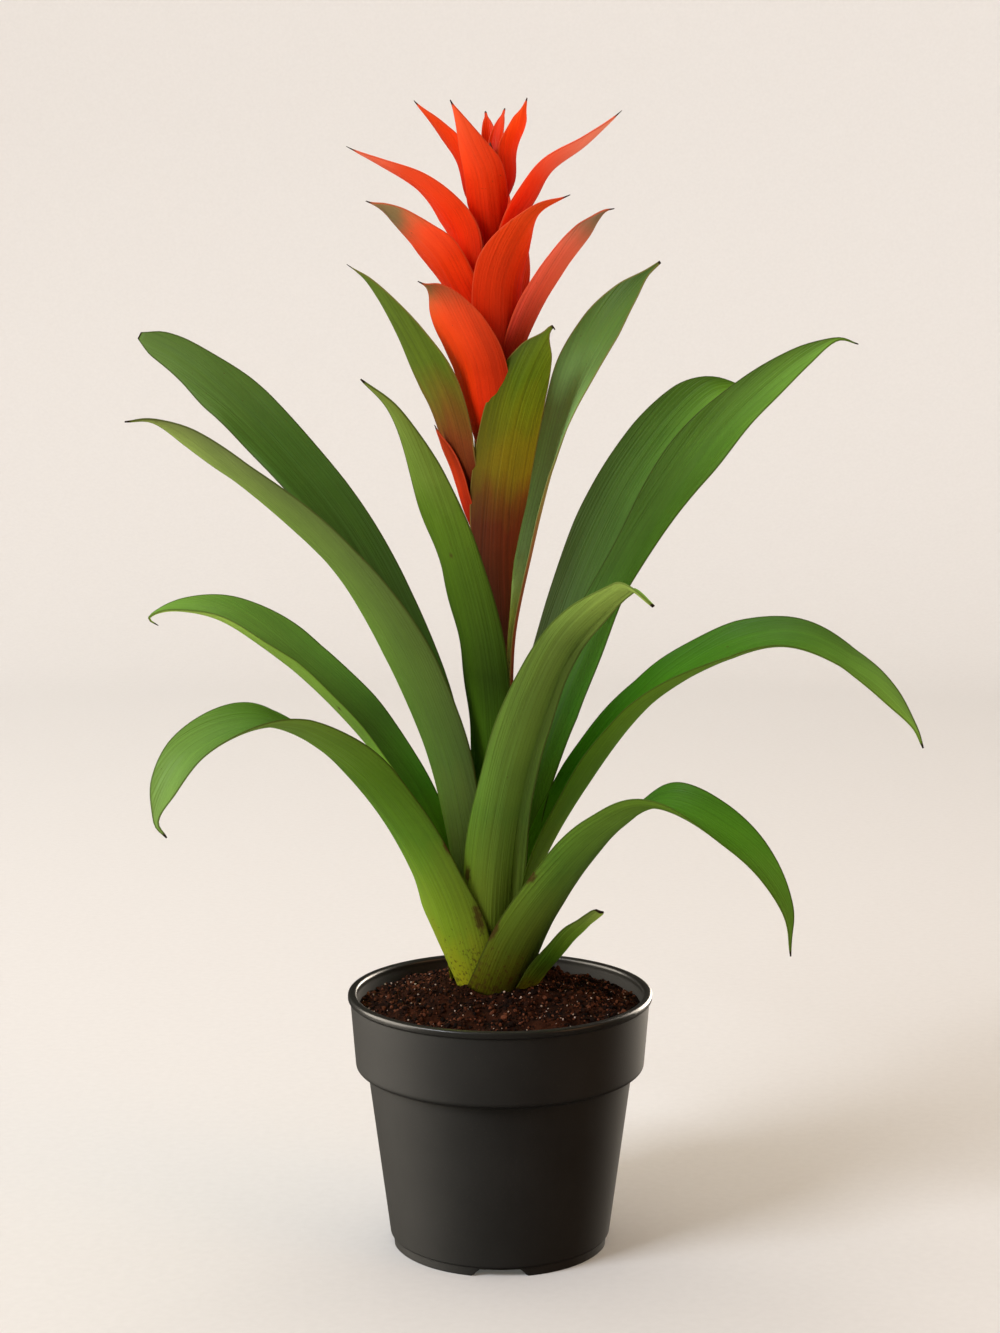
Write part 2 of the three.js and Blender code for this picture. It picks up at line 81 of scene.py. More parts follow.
def set_inputs(tree, node, inputs):
    """Sets a node's inputs to values or hex colours, or links them to the nodes or sockets given."""
    for name, value in inputs.items():
        if isinstance(value, bpy.types.Node):
            value = value.outputs[0]
        if isinstance(value, bpy.types.NodeSocket):
            tree.links.new(value, node.inputs[name])
        else:
            node.inputs[name].default_value = to_linear(value) if isinstance(value, str) else value


def add_node(tree, kind, inputs=None, stops=None, **settings):
    """Adds one shader node with its inputs, its settings and the stops of its colour ramp."""
    made = tree.nodes.new("ShaderNode" + kind)
    for name, value in settings.items():
        setattr(made, name, value)
    set_inputs(tree, made, inputs or {})
    for i, (place, colour) in enumerate(stops or []):
        ramp = made.color_ramp.elements
        stop = ramp[i] if i < 2 else ramp.new(place)
        stop.position = place
        stop.color = to_linear(colour)
    return made


def new_skin(name):
    """A new material, its node tree and the node that all of it feeds."""
    made = bpy.data.materials.new(name)
    made.use_nodes = True
    return made, made.node_tree, made.node_tree.nodes["Principled BSDF"]


def eased(corners, steps=7):
    """Rounds (radius, height, ease) corners: each starts to turn its ease before the corner."""
    points = []
    for i, (radius, height, ease) in enumerate(corners):
        here = np.array([radius, height], float)
        if not ease:
            points.append(here)
            continue
        before = np.array(corners[i - 1][:2]) - here
        after = np.array(corners[i + 1][:2]) - here
        reach = min(ease, 0.48 * np.linalg.norm(before), 0.48 * np.linalg.norm(after))
        start = here + before / np.linalg.norm(before) * reach
        end = here + after / np.linalg.norm(after) * reach
        for t in np.linspace(0, 1, steps):
            points.append((1 - t) ** 2 * start + 2 * t * (1 - t) * here + t * t * end)
    return points


def held(profile, hold=0.5):
    """Adds a point close to each end of the long straights, so that they shade as straight."""
    points = [profile[0]]
    for here in profile[1:]:
        run = here - points[-1]
        length = np.linalg.norm(run)
        if length > 4 * hold:
            start = points[-1]
            points += [start + run * hold / length, here - run * hold / length]
        points.append(here)
    return points


def turned(profile, sides):
    """Points and faces of a lathe round Z. A profile point on the axis becomes one pole."""
    points, faces, rings = [], [], []
    for radius, height in profile:
        if radius < 1e-6:
            rings.append([len(points)] * sides)
            points.append((0, 0, height))
            continue
        rings.append(list(range(len(points), len(points) + sides)))
        for i in range(sides):
            angle = 2 * math.pi * i / sides
            points.append((radius * math.cos(angle), radius * math.sin(angle), height))
    for low, high in zip(rings, rings[1:]):
        for i in range(sides):
            loop = [low[i], low[(i + 1) % sides], high[(i + 1) % sides], high[i]]
            faces.append(list(dict.fromkeys(loop)))
    return np.array(points, float), faces


def make_piece(name, points, faces, skin):
    """Makes a smooth piece from points in millimetres, riding on the one body of the plant and its pot."""
    mesh = bpy.data.meshes.new(name)
    mesh.from_pydata((np.asarray(points) * MM).tolist(), [], [list(map(int, face)) for face in faces])
    mesh.shade_smooth()
    mesh.materials.append(skin)
    piece = bpy.data.objects.new(name, mesh)
    bpy.context.scene.collection.objects.link(piece)
    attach(piece, "root")
    return piece


# Moulded polypropylene, spark-eroded to a fine matt grain on the wall and smooth on the lip. The wall
# spreads the light softly and the lip keeps a bright line. The real grain is about 0.2 mm and is drawn at
# 0.6 mm to show.
polypropylene, tree, bsdf = new_skin("moulded_black_polypropylene")
place = add_node(tree, "TexCoord").outputs["Object"]
height = add_node(tree, "SeparateXYZ", {"Vector": place}).outputs["Z"]
grain = add_node(tree, "TexNoise", {"Vector": place, "Scale": 1 / 0.0006, "Detail": 2.0})
speck = add_node(tree, "MapRange",
                 {"Value": grain, "From Min": 0.62, "From Max": 0.78, "To Min": 0.0, "To Max": 0.5})
cloud = add_node(tree, "TexNoise", {"Vector": place, "Scale": 1 / 0.03, "Detail": 3.0})
body_colour = add_node(tree, "ValToRGB", {"Fac": cloud}, [(0.3, "#1b1b19"), (0.7, "#20201e")])
dusted = add_node(tree, "MixRGB", {"Fac": speck, "Color1": body_colour, "Color2": "#34312b"})
on_lip = add_node(tree, "MapRange", {"Value": height, "From Min": (POT_HEIGHT - LIP_DEPTH) * MM,
                                               "From Max": (POT_HEIGHT - LIP_DEPTH + 0.6) * MM})
gloss = add_node(tree, "MapRange", {"Value": on_lip, "To Min": 0.56, "To Max": 0.28})
grain_depth = add_node(tree, "MapRange", {"Value": on_lip, "To Min": 0.35, "To Max": 0.05})
relief = add_node(tree, "Bump", {"Height": grain, "Strength": grain_depth, "Distance": 0.0001})
set_inputs(tree, bsdf, {"Base Color": dusted, "Roughness": gloss, "Normal": relief, "IOR": 1.49,
                        "Specular IOR Level": 0.4})

lip_inner = RIM_RADIUS - LIP_WIDTH
inner_wall = [
    (lip_inner - 0.1, POT_HEIGHT - 4, 1.0),
    (COLLAR_LOW_RADIUS - WALL - 0.4, COLLAR_Z + 1, 1.5),
    (BODY_TOP_RADIUS - WALL, BODY_TOP_Z - 1, 1.5),
    (BODY_LOW_RADIUS - WALL, FLOOR_TOP_Z, 1.5),
]
pot_profile = held(eased([
    (0, FOOT_HEIGHT, 0),
    (FOOT_RADIUS - 2.4, FOOT_HEIGHT, 0.4),
    (FOOT_RADIUS - 2.7, 0, 0.3),
    (FOOT_RADIUS, 0, 0.5),
    (FOOT_RADIUS + 0.2, FOOT_HEIGHT, 0.25),
    (BODY_LOW_RADIUS, FOOT_HEIGHT + 0.4, 0.4),
    (BODY_TOP_RADIUS, BODY_TOP_Z, 0.7),
    (BODY_TOP_RADIUS + 2.2, BODY_TOP_Z + 0.5, 0.8),
    (COLLAR_LOW_RADIUS, COLLAR_Z - 1.2, 2.6),
    (RIM_RADIUS - 1.0, POT_HEIGHT - 3.3, 0.3),
    (RIM_RADIUS - 0.55, POT_HEIGHT - LIP_DEPTH, 0.3),
    (RIM_RADIUS, POT_HEIGHT - 2.6, 0.5),
    (RIM_RADIUS, POT_HEIGHT, 1.9),
    (lip_inner, POT_HEIGHT, 1.5),
    *inner_wall,
    (0, FLOOR_TOP_Z, 0),
]))
pot_points, pot_faces = turned(pot_profile, POT_SIDES)
# The notches lift the foot ring's lower edge, with slanted ends.
for i, (x, y, z) in enumerate(pot_points):
    reach = math.hypot(x, y)
    if reach > FOOT_RADIUS - 3 and z < NOTCH_HEIGHT:
        quarter = 2 * math.pi / NOTCH_COUNT
        turn = (math.atan2(y, x) + quarter / 2) % quarter - quarter / 2
        inward = NOTCH_WIDTH / 2 - abs(turn) * reach
        lift = NOTCH_HEIGHT * min(1, max(0, inward / NOTCH_SLANT))
        pot_points[i][2] = max(z, lift)
pot = make_piece("nursery_pot", pot_points, pot_faces, polypropylene)
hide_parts("pot")
drains = []
for i in range(DRAIN_COUNT):
    angle = 2 * math.pi * (i + 0.5) / DRAIN_COUNT
    bpy.ops.mesh.primitive_cylinder_add(
        vertices=40, radius=DRAIN_RADIUS * MM, depth=8 * MM,
        location=(DRAIN_RING_RADIUS * math.cos(angle) * MM, DRAIN_RING_RADIUS * math.sin(angle) * MM,
                  (FOOT_HEIGHT + 1) * MM))
    drains.append(bpy.context.object)
with bpy.context.temp_override(active_object=drains[0], selected_editable_objects=drains):
    bpy.ops.object.join()
cut = pot.modifiers.new("drain_holes", "BOOLEAN")
cut.object = drains[0]
with bpy.context.temp_override(object=pot, active_object=pot):
    bpy.ops.object.modifier_apply(modifier=cut.name)
bpy.data.objects.remove(drains[0])
pot.data.set_sharp_from_angle(angle=math.radians(50))

# Peat: one fill of milled potting peat, damp and dark red-brown. It is poured round the root and settles in
# a low mound, loose and crumbly on top.
SOIL_TOP_Z = 119.5
SOIL_SLOPE = 0.27
SOIL_SIDES = 200
SOIL_RINGS = 66
LUMP_COUNT = 46
LUMP_SMALLEST = 4.5
LUMP_LARGEST = 26
FIT = 0.3
CRUMB_COUNT = 6500
CRUMB_RADIUS = 0.5
CRUMB_SPREAD = 0.42
CRUMB_SMALLEST = 0.22
CRUMB_LARGEST = 1.7
GRIT_SHARE = 0.028
soil_edge = lip_inner - 0.1 - FIT - 0.2
draw = np.random.default_rng(11)

wave_length = draw.uniform(LUMP_SMALLEST, LUMP_LARGEST, LUMP_COUNT)
wave_turn = draw.uniform(0, 2 * math.pi, LUMP_COUNT)
wave_start = draw.uniform(0, 2 * math.pi, LUMP_COUNT)


def peat_height(x, y):
    """Height of the bed at a place, in millimetres: a low cone with lumps of every size."""
    reach = np.hypot(x, y)
    lumps = np.zeros_like(x)
    for length, turn, start in zip(wave_length, wave_turn, wave_start):
        run = (x * np.cos(turn) + y * np.sin(turn)) * 2 * math.pi / length
        lumps = lumps + 0.014 * length * np.sin(run + start)
    settled = np.clip((soil_edge - reach) / 8, 0.25, 1)
    return SOIL_TOP_Z - SOIL_SLOPE * np.maximum(reach, 9) + lumps * settled


soil_rings = [(soil_edge * (k / SOIL_RINGS) ** 0.9, 0) for k in range(SOIL_RINGS + 1)]
side_rings = [
    (soil_edge - 0.1, POT_HEIGHT - 8.6),
    (inner_wall[1][0] - FIT, inner_wall[1][1] + 0.4),
    (inner_wall[2][0] - FIT, inner_wall[2][1] - 0.1),
    (inner_wall[3][0] - FIT, inner_wall[3][1] + FIT),
    (0, inner_wall[3][1] + FIT),
]
bed_points, bed_faces = turned(soil_rings + side_rings, SOIL_SIDES)
top_count = 1 + SOIL_RINGS * SOIL_SIDES
bed_points[:top_count, 2] = peat_height(bed_points[:top_count, 0], bed_points[:top_count, 1])
bed_faces = [face[::-1] for face in bed_faces]

# Milled peat, damp: dark red-brown and dull. Its real crumb is about 0.5 mm and is drawn at 1.6 mm to show.
damp_peat, tree, bsdf = new_skin("milled_damp_peat")
place = add_node(tree, "TexCoord").outputs["Object"]
crumb = add_node(tree, "TexVoronoi", {"Vector": place, "Scale": 1 / 0.0016})
clod = add_node(tree, "TexNoise", {"Vector": place, "Scale": 1 / 0.007, "Detail": 4.0})
tint = add_node(tree, "ValToRGB", {"Fac": clod}, [(0.3, "#140802"), (0.72, "#42200f")])
relief = add_node(tree, "Bump", {"Height": crumb, "Strength": 1.0, "Distance": 0.0006}, invert=True)
set_inputs(tree, bsdf, {"Base Color": tint, "Normal": relief, "Roughness": 0.95, "Specular IOR Level": 0.15})
bed = make_piece("peat_bed", bed_points, bed_faces, damp_peat)
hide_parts("soil")


def mark_points(piece, name, kind, values):
    """Gives each point of a piece a value of its own, which the piece's skin reads by name."""
    field = {"FLOAT": "value", "FLOAT_VECTOR": "vector", "FLOAT_COLOR": "color"}[kind]
    marks = piece.data.attributes.new(name, kind, "POINT")
    marks.data.foreach_set(field, np.ascontiguousarray(values.reshape(-1), np.float32))


# Loose crumbs of the same peat with a few pale grains of grit, which sparkle. Each is a bent icosahedron.
golden = (1 + math.sqrt(5)) / 2
ico = np.array([(0, a, b) for a in (-1, 1) for b in (-golden, golden)]
               + [(a, b, 0) for a in (-1, 1) for b in (-golden, golden)]
               + [(b, 0, a) for a in (-1, 1) for b in (-golden, golden)], float)
ico /= np.linalg.norm(ico[0])
edge_length = np.linalg.norm(ico[None] - ico[:, None], axis=2)
near = (edge_length > 0.1) & (edge_length < 1.2)
ico_faces = []
for a in range(12):
    for b in range(a + 1, 12):
        for c in range(b + 1, 12):
            if near[a, b] and near[b, c] and near[a, c]:
                outward = np.dot(np.cross(ico[b] - ico[a], ico[c] - ico[a]), ico[a]) > 0
                ico_faces.append((a, b, c) if outward else (a, c, b))
ico_faces = np.array(ico_faces)

crumb_reach = (soil_edge - 1.2) * np.sqrt(draw.uniform(0.012, 1, CRUMB_COUNT))
crumb_turn = draw.uniform(0, 2 * math.pi, CRUMB_COUNT)
crumb_size = CRUMB_RADIUS * np.exp(draw.normal(0, CRUMB_SPREAD, CRUMB_COUNT))
crumb_size = np.clip(crumb_size, CRUMB_SMALLEST, CRUMB_LARGEST)
is_grit = draw.uniform(0, 1, CRUMB_COUNT) > 1 - GRIT_SHARE
crumb_size[is_grit] = draw.uniform(CRUMB_SMALLEST, CRUMB_RADIUS, is_grit.sum())
crumb_x = crumb_reach * np.cos(crumb_turn)
crumb_y = crumb_reach * np.sin(crumb_turn)
crumb_z = peat_height(crumb_x, crumb_y) + crumb_size * draw.uniform(0.1, 0.6, CRUMB_COUNT)
crumb_z[is_grit] += 0.45
spin = np.linalg.qr(draw.normal(0, 1, (CRUMB_COUNT, 3, 3)))[0]
shape = ico[None] * (1 + draw.uniform(-0.32, 0.32, (CRUMB_COUNT, 12, 1)))
shape = shape * draw.uniform(0.6, 1.15, (CRUMB_COUNT, 1, 3)) * crumb_size[:, None, None]
shape = np.einsum("nij,nkj->nki", spin, shape)
flipped = np.linalg.det(spin) < 0
crumb_points = (shape + np.stack([crumb_x, crumb_y, crumb_z], 1)[:, None]).reshape(-1, 3)
crumb_faces = ico_faces[None] + 12 * np.arange(CRUMB_COUNT)[:, None, None]
crumb_faces[flipped] = crumb_faces[flipped][:, :, ::-1]
crumb_tone = draw.uniform(0, 0.8, CRUMB_COUNT)
crumb_tone[is_grit] = 1.0

# Each crumb keeps one tone, from near black to red-brown; the last step of the ramp is pale grit.
peat_crumb, tree, bsdf = new_skin("loose_peat_and_grit")
tone = add_node(tree, "Attribute", attribute_name="crumb_tone").outputs["Fac"]
place = add_node(tree, "TexCoord").outputs["Object"]
rough = add_node(tree, "TexNoise", {"Vector": place, "Scale": 1 / 0.0007, "Detail": 2.0})
tint = add_node(tree, "ValToRGB", {"Fac": tone},
                [(0.0, "#0c0502"), (0.35, "#241006"), (0.62, "#4e2712"), (0.8, "#7c4a34"), (0.9, "#c9b3a4")])
relief = add_node(tree, "Bump", {"Height": rough, "Strength": 0.7, "Distance": 0.0003})
gloss = add_node(tree, "MapRange",
                 {"Value": tone, "From Min": 0.8, "From Max": 0.95, "To Min": 0.9, "To Max": 0.3})
set_inputs(tree, bsdf, {"Base Color": tint, "Roughness": gloss, "Normal": relief, "Specular IOR Level": 0.2})
crumbs = make_piece("peat_crumbs", crumb_points, crumb_faces.reshape(-1, 3), peat_crumb)
crumbs.data.shade_flat()
mark_points(crumbs, "crumb_tone", "FLOAT", np.repeat(crumb_tone, 12))
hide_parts("soil")

# Crown and flower stem: one fleshy stem, grown in one piece. In the peat it is a thick disc that the leaves
# clasp, and it goes on up through them as the thin stem of the flower head.
PLANT_X = -4
CROWN_RADIUS = 20.5
CROWN_TOP_Z = 110.1
CORE_RADIUS = 6.4
SCAPE_RADIUS = 3.8
crown_low, crown_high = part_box("crown_and_scape")
SCAPE_TOP_Z = crown_high.z / MM

# Living stem skin, smooth and waxed: reddish brown, with darker streaks up the stem.
stem_skin, tree, bsdf = new_skin("waxy_stem_skin")
place = add_node(tree, "TexCoord").outputs["Object"]
stretched = add_node(tree, "VectorMath", {0: place, 1: (1 / 0.0012, 1 / 0.0012, 1 / 0.03)},
                     operation="MULTIPLY")
streak = add_node(tree, "TexNoise", {"Vector": stretched, "Scale": 1.0, "Detail": 2.0})
tint = add_node(tree, "ValToRGB", {"Fac": streak}, [(0.3, "#3a1c10"), (0.7, "#6a3a1e")])
relief = add_node(tree, "Bump", {"Height": streak, "Strength": 0.5, "Distance": 0.0002})
set_inputs(tree, bsdf, {"Base Color": tint, "Normal": relief, "Roughness": 0.5})
stem_points, stem_faces = turned(held(eased([
    (0, crown_low.z / MM, 0),
    (CROWN_RADIUS, crown_low.z / MM, 2),
    (CROWN_RADIUS, CROWN_TOP_Z - 0.6, 1.5),
    (CORE_RADIUS + 1, CROWN_TOP_Z + 0.1, 2),
    (CORE_RADIUS, CROWN_TOP_Z + 6, 3),
    (CORE_RADIUS - 0.5, CROWN_TOP_Z + 30, 8),
    (SCAPE_RADIUS + 1, CROWN_TOP_Z + 70, 10),
    (SCAPE_RADIUS, CROWN_TOP_Z + 150, 10),
    (SCAPE_RADIUS, SCAPE_TOP_Z, 0),
    (0, SCAPE_TOP_Z, 0),
])), 48)
stem_points[:, 0] += PLANT_X - PLANT_X * (stem_points[:, 2] - CROWN_TOP_Z) / (SCAPE_TOP_Z - CROWN_TOP_Z)
stem = make_piece("flower_stem", stem_points, stem_faces, stem_skin)
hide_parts("crown_and_scape")

# Rosette leaves: smooth-edged straps, each a shallow channel that clasps the crown at its root and ends in a
# fine drawn-out tip. One blade follows the midrib of each leaf.
LEAF_THICKNESS = 1.0
LEAF_STATIONS = 130
LEAF_STRIPS = 26
VEIN_SPACING = 0.9
VEIN_LENGTH = 90
BAND_WIDTH = 5
BAND_LENGTH = 130
GRAIN_SIZE = 1.1
TIP_DRY = 3.0
TIP_DARK = 1.3
BLADE_STATIONS = [0, 0.12, 0.25, 0.4, 0.55, 0.7, 0.82, 0.91, 0.97, 1]


def catmull_rom(path, count):
    """Evenly spaced points on a centripetal Catmull-Rom curve through the path, and the curve's length."""
    knots = np.asarray(path, float)
    knots = np.vstack([2 * knots[0] - knots[1], knots, 2 * knots[-1] - knots[-2]])
    pieces = []
    for a, b, c, d in zip(knots, knots[1:], knots[2:], knots[3:]):
        t = np.cumsum([0] + [np.linalg.norm(q - p) ** 0.5 for p, q in ((a, b), (b, c), (c, d))])
        s = np.linspace(t[1], t[2], 60, endpoint=False)[:, None]
        ab = ((t[1] - s) * a + (s - t[0]) * b) / (t[1] - t[0])
        bc = ((t[2] - s) * b + (s - t[1]) * c) / (t[2] - t[1])
        cd = ((t[3] - s) * c + (s - t[2]) * d) / (t[3] - t[2])
        abc = ((t[2] - s) * ab + (s - t[0]) * bc) / (t[2] - t[0])
        bcd = ((t[3] - s) * bc + (s - t[1]) * cd) / (t[3] - t[1])
        pieces.append(((t[2] - s) * abc + (s - t[1]) * bcd) / (t[2] - t[1]))
    dense = np.vstack(pieces + [knots[-2][None]])
    run = np.concatenate([[0], np.cumsum(np.linalg.norm(np.diff(dense, axis=0), axis=1))])
    wanted = np.linspace(0, run[-1], count)
    return np.stack([np.interp(wanted, run, dense[:, k]) for k in range(3)], 1), run[-1]


def smooth(x):
    """A smooth step from 0 to 1."""
    x = np.clip(x, 0, 1)
    return x * x * (3 - 2 * x)


def along(values, u):
    """A value read along the blade from a short list, evenly spaced."""
    return np.interp(u, np.linspace(0, 1, len(values)), values)


def blade_width(form, u):
    """Width of the flattened blade, read smoothly and without overshoot from its list of widths."""
    places, values = np.array(BLADE_STATIONS), np.array(form["widths"], float)
    step = np.diff(places)
    rise = np.diff(values) / step
    both = rise[:-1] + rise[1:]
    same = rise[:-1] * rise[1:] > 0
    inner = np.where(same, 2 * rise[:-1] * rise[1:] / np.where(same, both, 1), 0)
    slope = np.concatenate([rise[:1], inner, rise[-1:]])
    k = np.clip(np.searchsorted(places, u, side="right") - 1, 0, len(step) - 1)
    t = (u - places[k]) / step[k]
    width = (2 * t ** 3 - 3 * t ** 2 + 1) * values[k] + (t ** 3 - 2 * t ** 2 + t) * step[k] * slope[k]
    return width + (3 * t ** 2 - 2 * t ** 3) * values[k + 1] + (t ** 3 - t ** 2) * step[k] * slope[k + 1]


def blade_surface(form, stations, strips, seed):
    """The middle surface of a blade: its points, normals and the places on the blade they stand for."""
    own = np.random.default_rng(seed)
    u = np.linspace(0, 1, stations)
    middle, length = catmull_rom(form["path"], stations)
    tangent = np.gradient(middle, axis=0)
    tangent /= np.linalg.norm(tangent, axis=1)[:, None]
    turn = math.radians(form["turn"])
    side = np.array([math.sin(turn), -math.cos(turn), 0.0])
    across, inward = [], []
    for direction, roll in zip(tangent, np.radians(along(form["roll"], u))):
        side = side - side @ direction * direction
        side /= np.linalg.norm(side)
        up = np.cross(side, direction)
        across.append(side * math.cos(roll) + up * math.sin(roll))
        inward.append(up * math.cos(roll) - side * math.sin(roll))
    across, inward = np.array(across)[:, None], np.array(inward)[:, None]

    width = blade_width(form, u)[:, None]
    root_radius = max(3, math.hypot(form["path"][0][0] - form["axis"], form["path"][0][1]))
    root_half = min(form["widths"][0] / (2 * root_radius), math.radians(80))
    cup_middle, cup_tip = np.radians(form["cup"])
    half = root_half + (cup_middle - root_half) * smooth(u / form["clasp"])
    half = np.where(u > 0.4, cup_middle + (cup_tip - cup_middle) * (u - 0.4) / 0.6, half)[:, None]
    v = np.linspace(-1, 1, strips + 1)
    v = (0.8 * v + 0.2 * np.sin(v * math.pi / 2))[None]
    # The margin past the fold leaves the arc of the channel at an angle of its own.
    fold_side, fold_share, fold_angle = form["fold"]
    past = np.maximum(0, v * fold_side - (1 - fold_share))
    angle = (v - past * fold_side) * half
    radius = width / (2 * half)
    surface = middle[:, None] + across * (radius * np.sin(angle))[..., None]
    surface = surface + inward * (radius * (1 - np.cos(angle)))[..., None]
    bent = np.radians(along(fold_angle, u))[:, None] * fold_side * smooth(past / 0.08)
    angle = angle + bent
    outward = across * np.cos(angle)[..., None] + inward * np.sin(angle)[..., None]
    surface = surface + outward * (past * fold_side * width / 2)[..., None]
    normal = inward * np.cos(angle)[..., None] - across * np.sin(angle)[..., None]

    out = v * width / 2
    run = (u * length)[:, None]
    full = np.clip(width / max(form["widths"]), 0, 1) * smooth(u / 0.15)[:, None]
    crease = -form["crease"] * np.exp(-(out / 1.6) ** 2)
    pleats = 0.1 * np.cos(2 * math.pi * out / own.uniform(3.6, 4.6) + own.uniform(0, 6)) * (1 - v ** 4)
    ripple = np.zeros_like(out)
    for edge in (-1, 1):
        wave = sum(own.uniform(0.3, 0.6)
                   * np.sin(2 * math.pi * run / own.uniform(30, 70) + own.uniform(0, 6)) for _ in range(3))
        ripple = ripple + wave * np.clip(v * edge, 0, 1) ** 3
    surface = surface + normal * ((crease + pleats + form["ripple"] * ripple) * full)[..., None]
    return surface, normal, (-outward[:, :1], outward[:, -1:]), u, v, width, out, run, length


def make_blade(name, form, stations, strips, thickness, skin, seed):
    """Makes one leaf or bract as a closed blade, and tells its skin where on the blade each point lies."""
    surface, normal, edges, u, v, width, out, run, length = blade_surface(form, stations, strips, seed)
    thick = np.minimum(thickness * (1 - 0.45 * v ** 2), 0.55 * width + 0 * v)
    upper = surface + normal * thick[..., None] / 2
    lower = surface - normal * thick[..., None] / 2
    rim_out = 0.45 * thick[:, -1:, None]
    left = surface[:, :1] + edges[0] * rim_out
    right = surface[:, -1:] + edges[1] * rim_out
    rings = np.concatenate([upper, right, lower[:, ::-1], left], 1)

    ring = rings.shape[1]
    faces = []
    for i in range(stations - 1):
        for k in range(ring):
            after = (k + 1) % ring
            faces.append((i * ring + k, i * ring + after, (i + 1) * ring + after, (i + 1) * ring + k))
    first, last = 0, (stations - 1) * ring
    for j in range(strips):
        below = ring - 2 - j
        faces.append((first + j, first + below, first + below - 1, first + j + 1))
        faces.append((last + j, last + j + 1, last + below - 1, last + below))
    faces.append((first + strips, first + strips + 2, first + strips + 1))
    faces.append((first, first + ring - 1, first + ring - 2))
    faces.append((last + strips, last + strips + 1, last + strips + 2))
    faces.append((last, last + ring - 2, last + ring - 1))
    piece = make_piece(name, rings.reshape(-1, 3), faces, skin)

    flat_out = np.concatenate([out, out[:, -1:], out[:, ::-1], out[:, :1]], 1)
    to_edge = width / 2 - np.abs(flat_out)
    run = np.repeat(run, ring, 1)
    facing = np.tile(np.r_[np.ones(strips + 1), 0.5, np.zeros(strips + 1), 0.5], (stations, 1))
    share = np.repeat(u[:, None], ring, 1)
    far_apart = run + 1000 * (seed % 97)
    mark_points(piece, "blade_mm", "FLOAT_VECTOR", np.stack([flat_out, far_apart, to_edge], 2))
    to_tip = (length - run) / form["dry"]
    mark_points(piece, "blade_share", "FLOAT_VECTOR", np.stack([share, facing, to_tip], 2))
    # Painted light and shade: the blade is made lighter or darker along its length, towards one margin and
    # on its underside. Its pale veil is part wax bloom and part painted sheen.
    aside = np.clip(2 * flat_out / width, -1, 1)
    painted_light = along(form["painted_light"], share) * (1 + along(form["lean"], share) * aside)
    painted_light = painted_light * np.where(facing < 0.25, form["under"], 1)
    blush, olive = np.full_like(share, form["blush"]), np.full_like(share, form["olive"])
    tone = np.stack([blush, olive, painted_light, along(form["wax_and_painted_sheen"], share)], 2)
    mark_points(piece, "blade_tint_and_painted_light", "FLOAT_COLOR", tone)
    scar = np.zeros_like(share)
    for up_blade, across_blade, half_length, half_width in form["marks"]:
        far = ((run - up_blade) / half_length) ** 2 + ((flat_out - across_blade) / half_width) ** 2
        scar = scar + np.exp(-far)
    mark_points(piece, "blade_scar", "FLOAT", scar)
    return piece


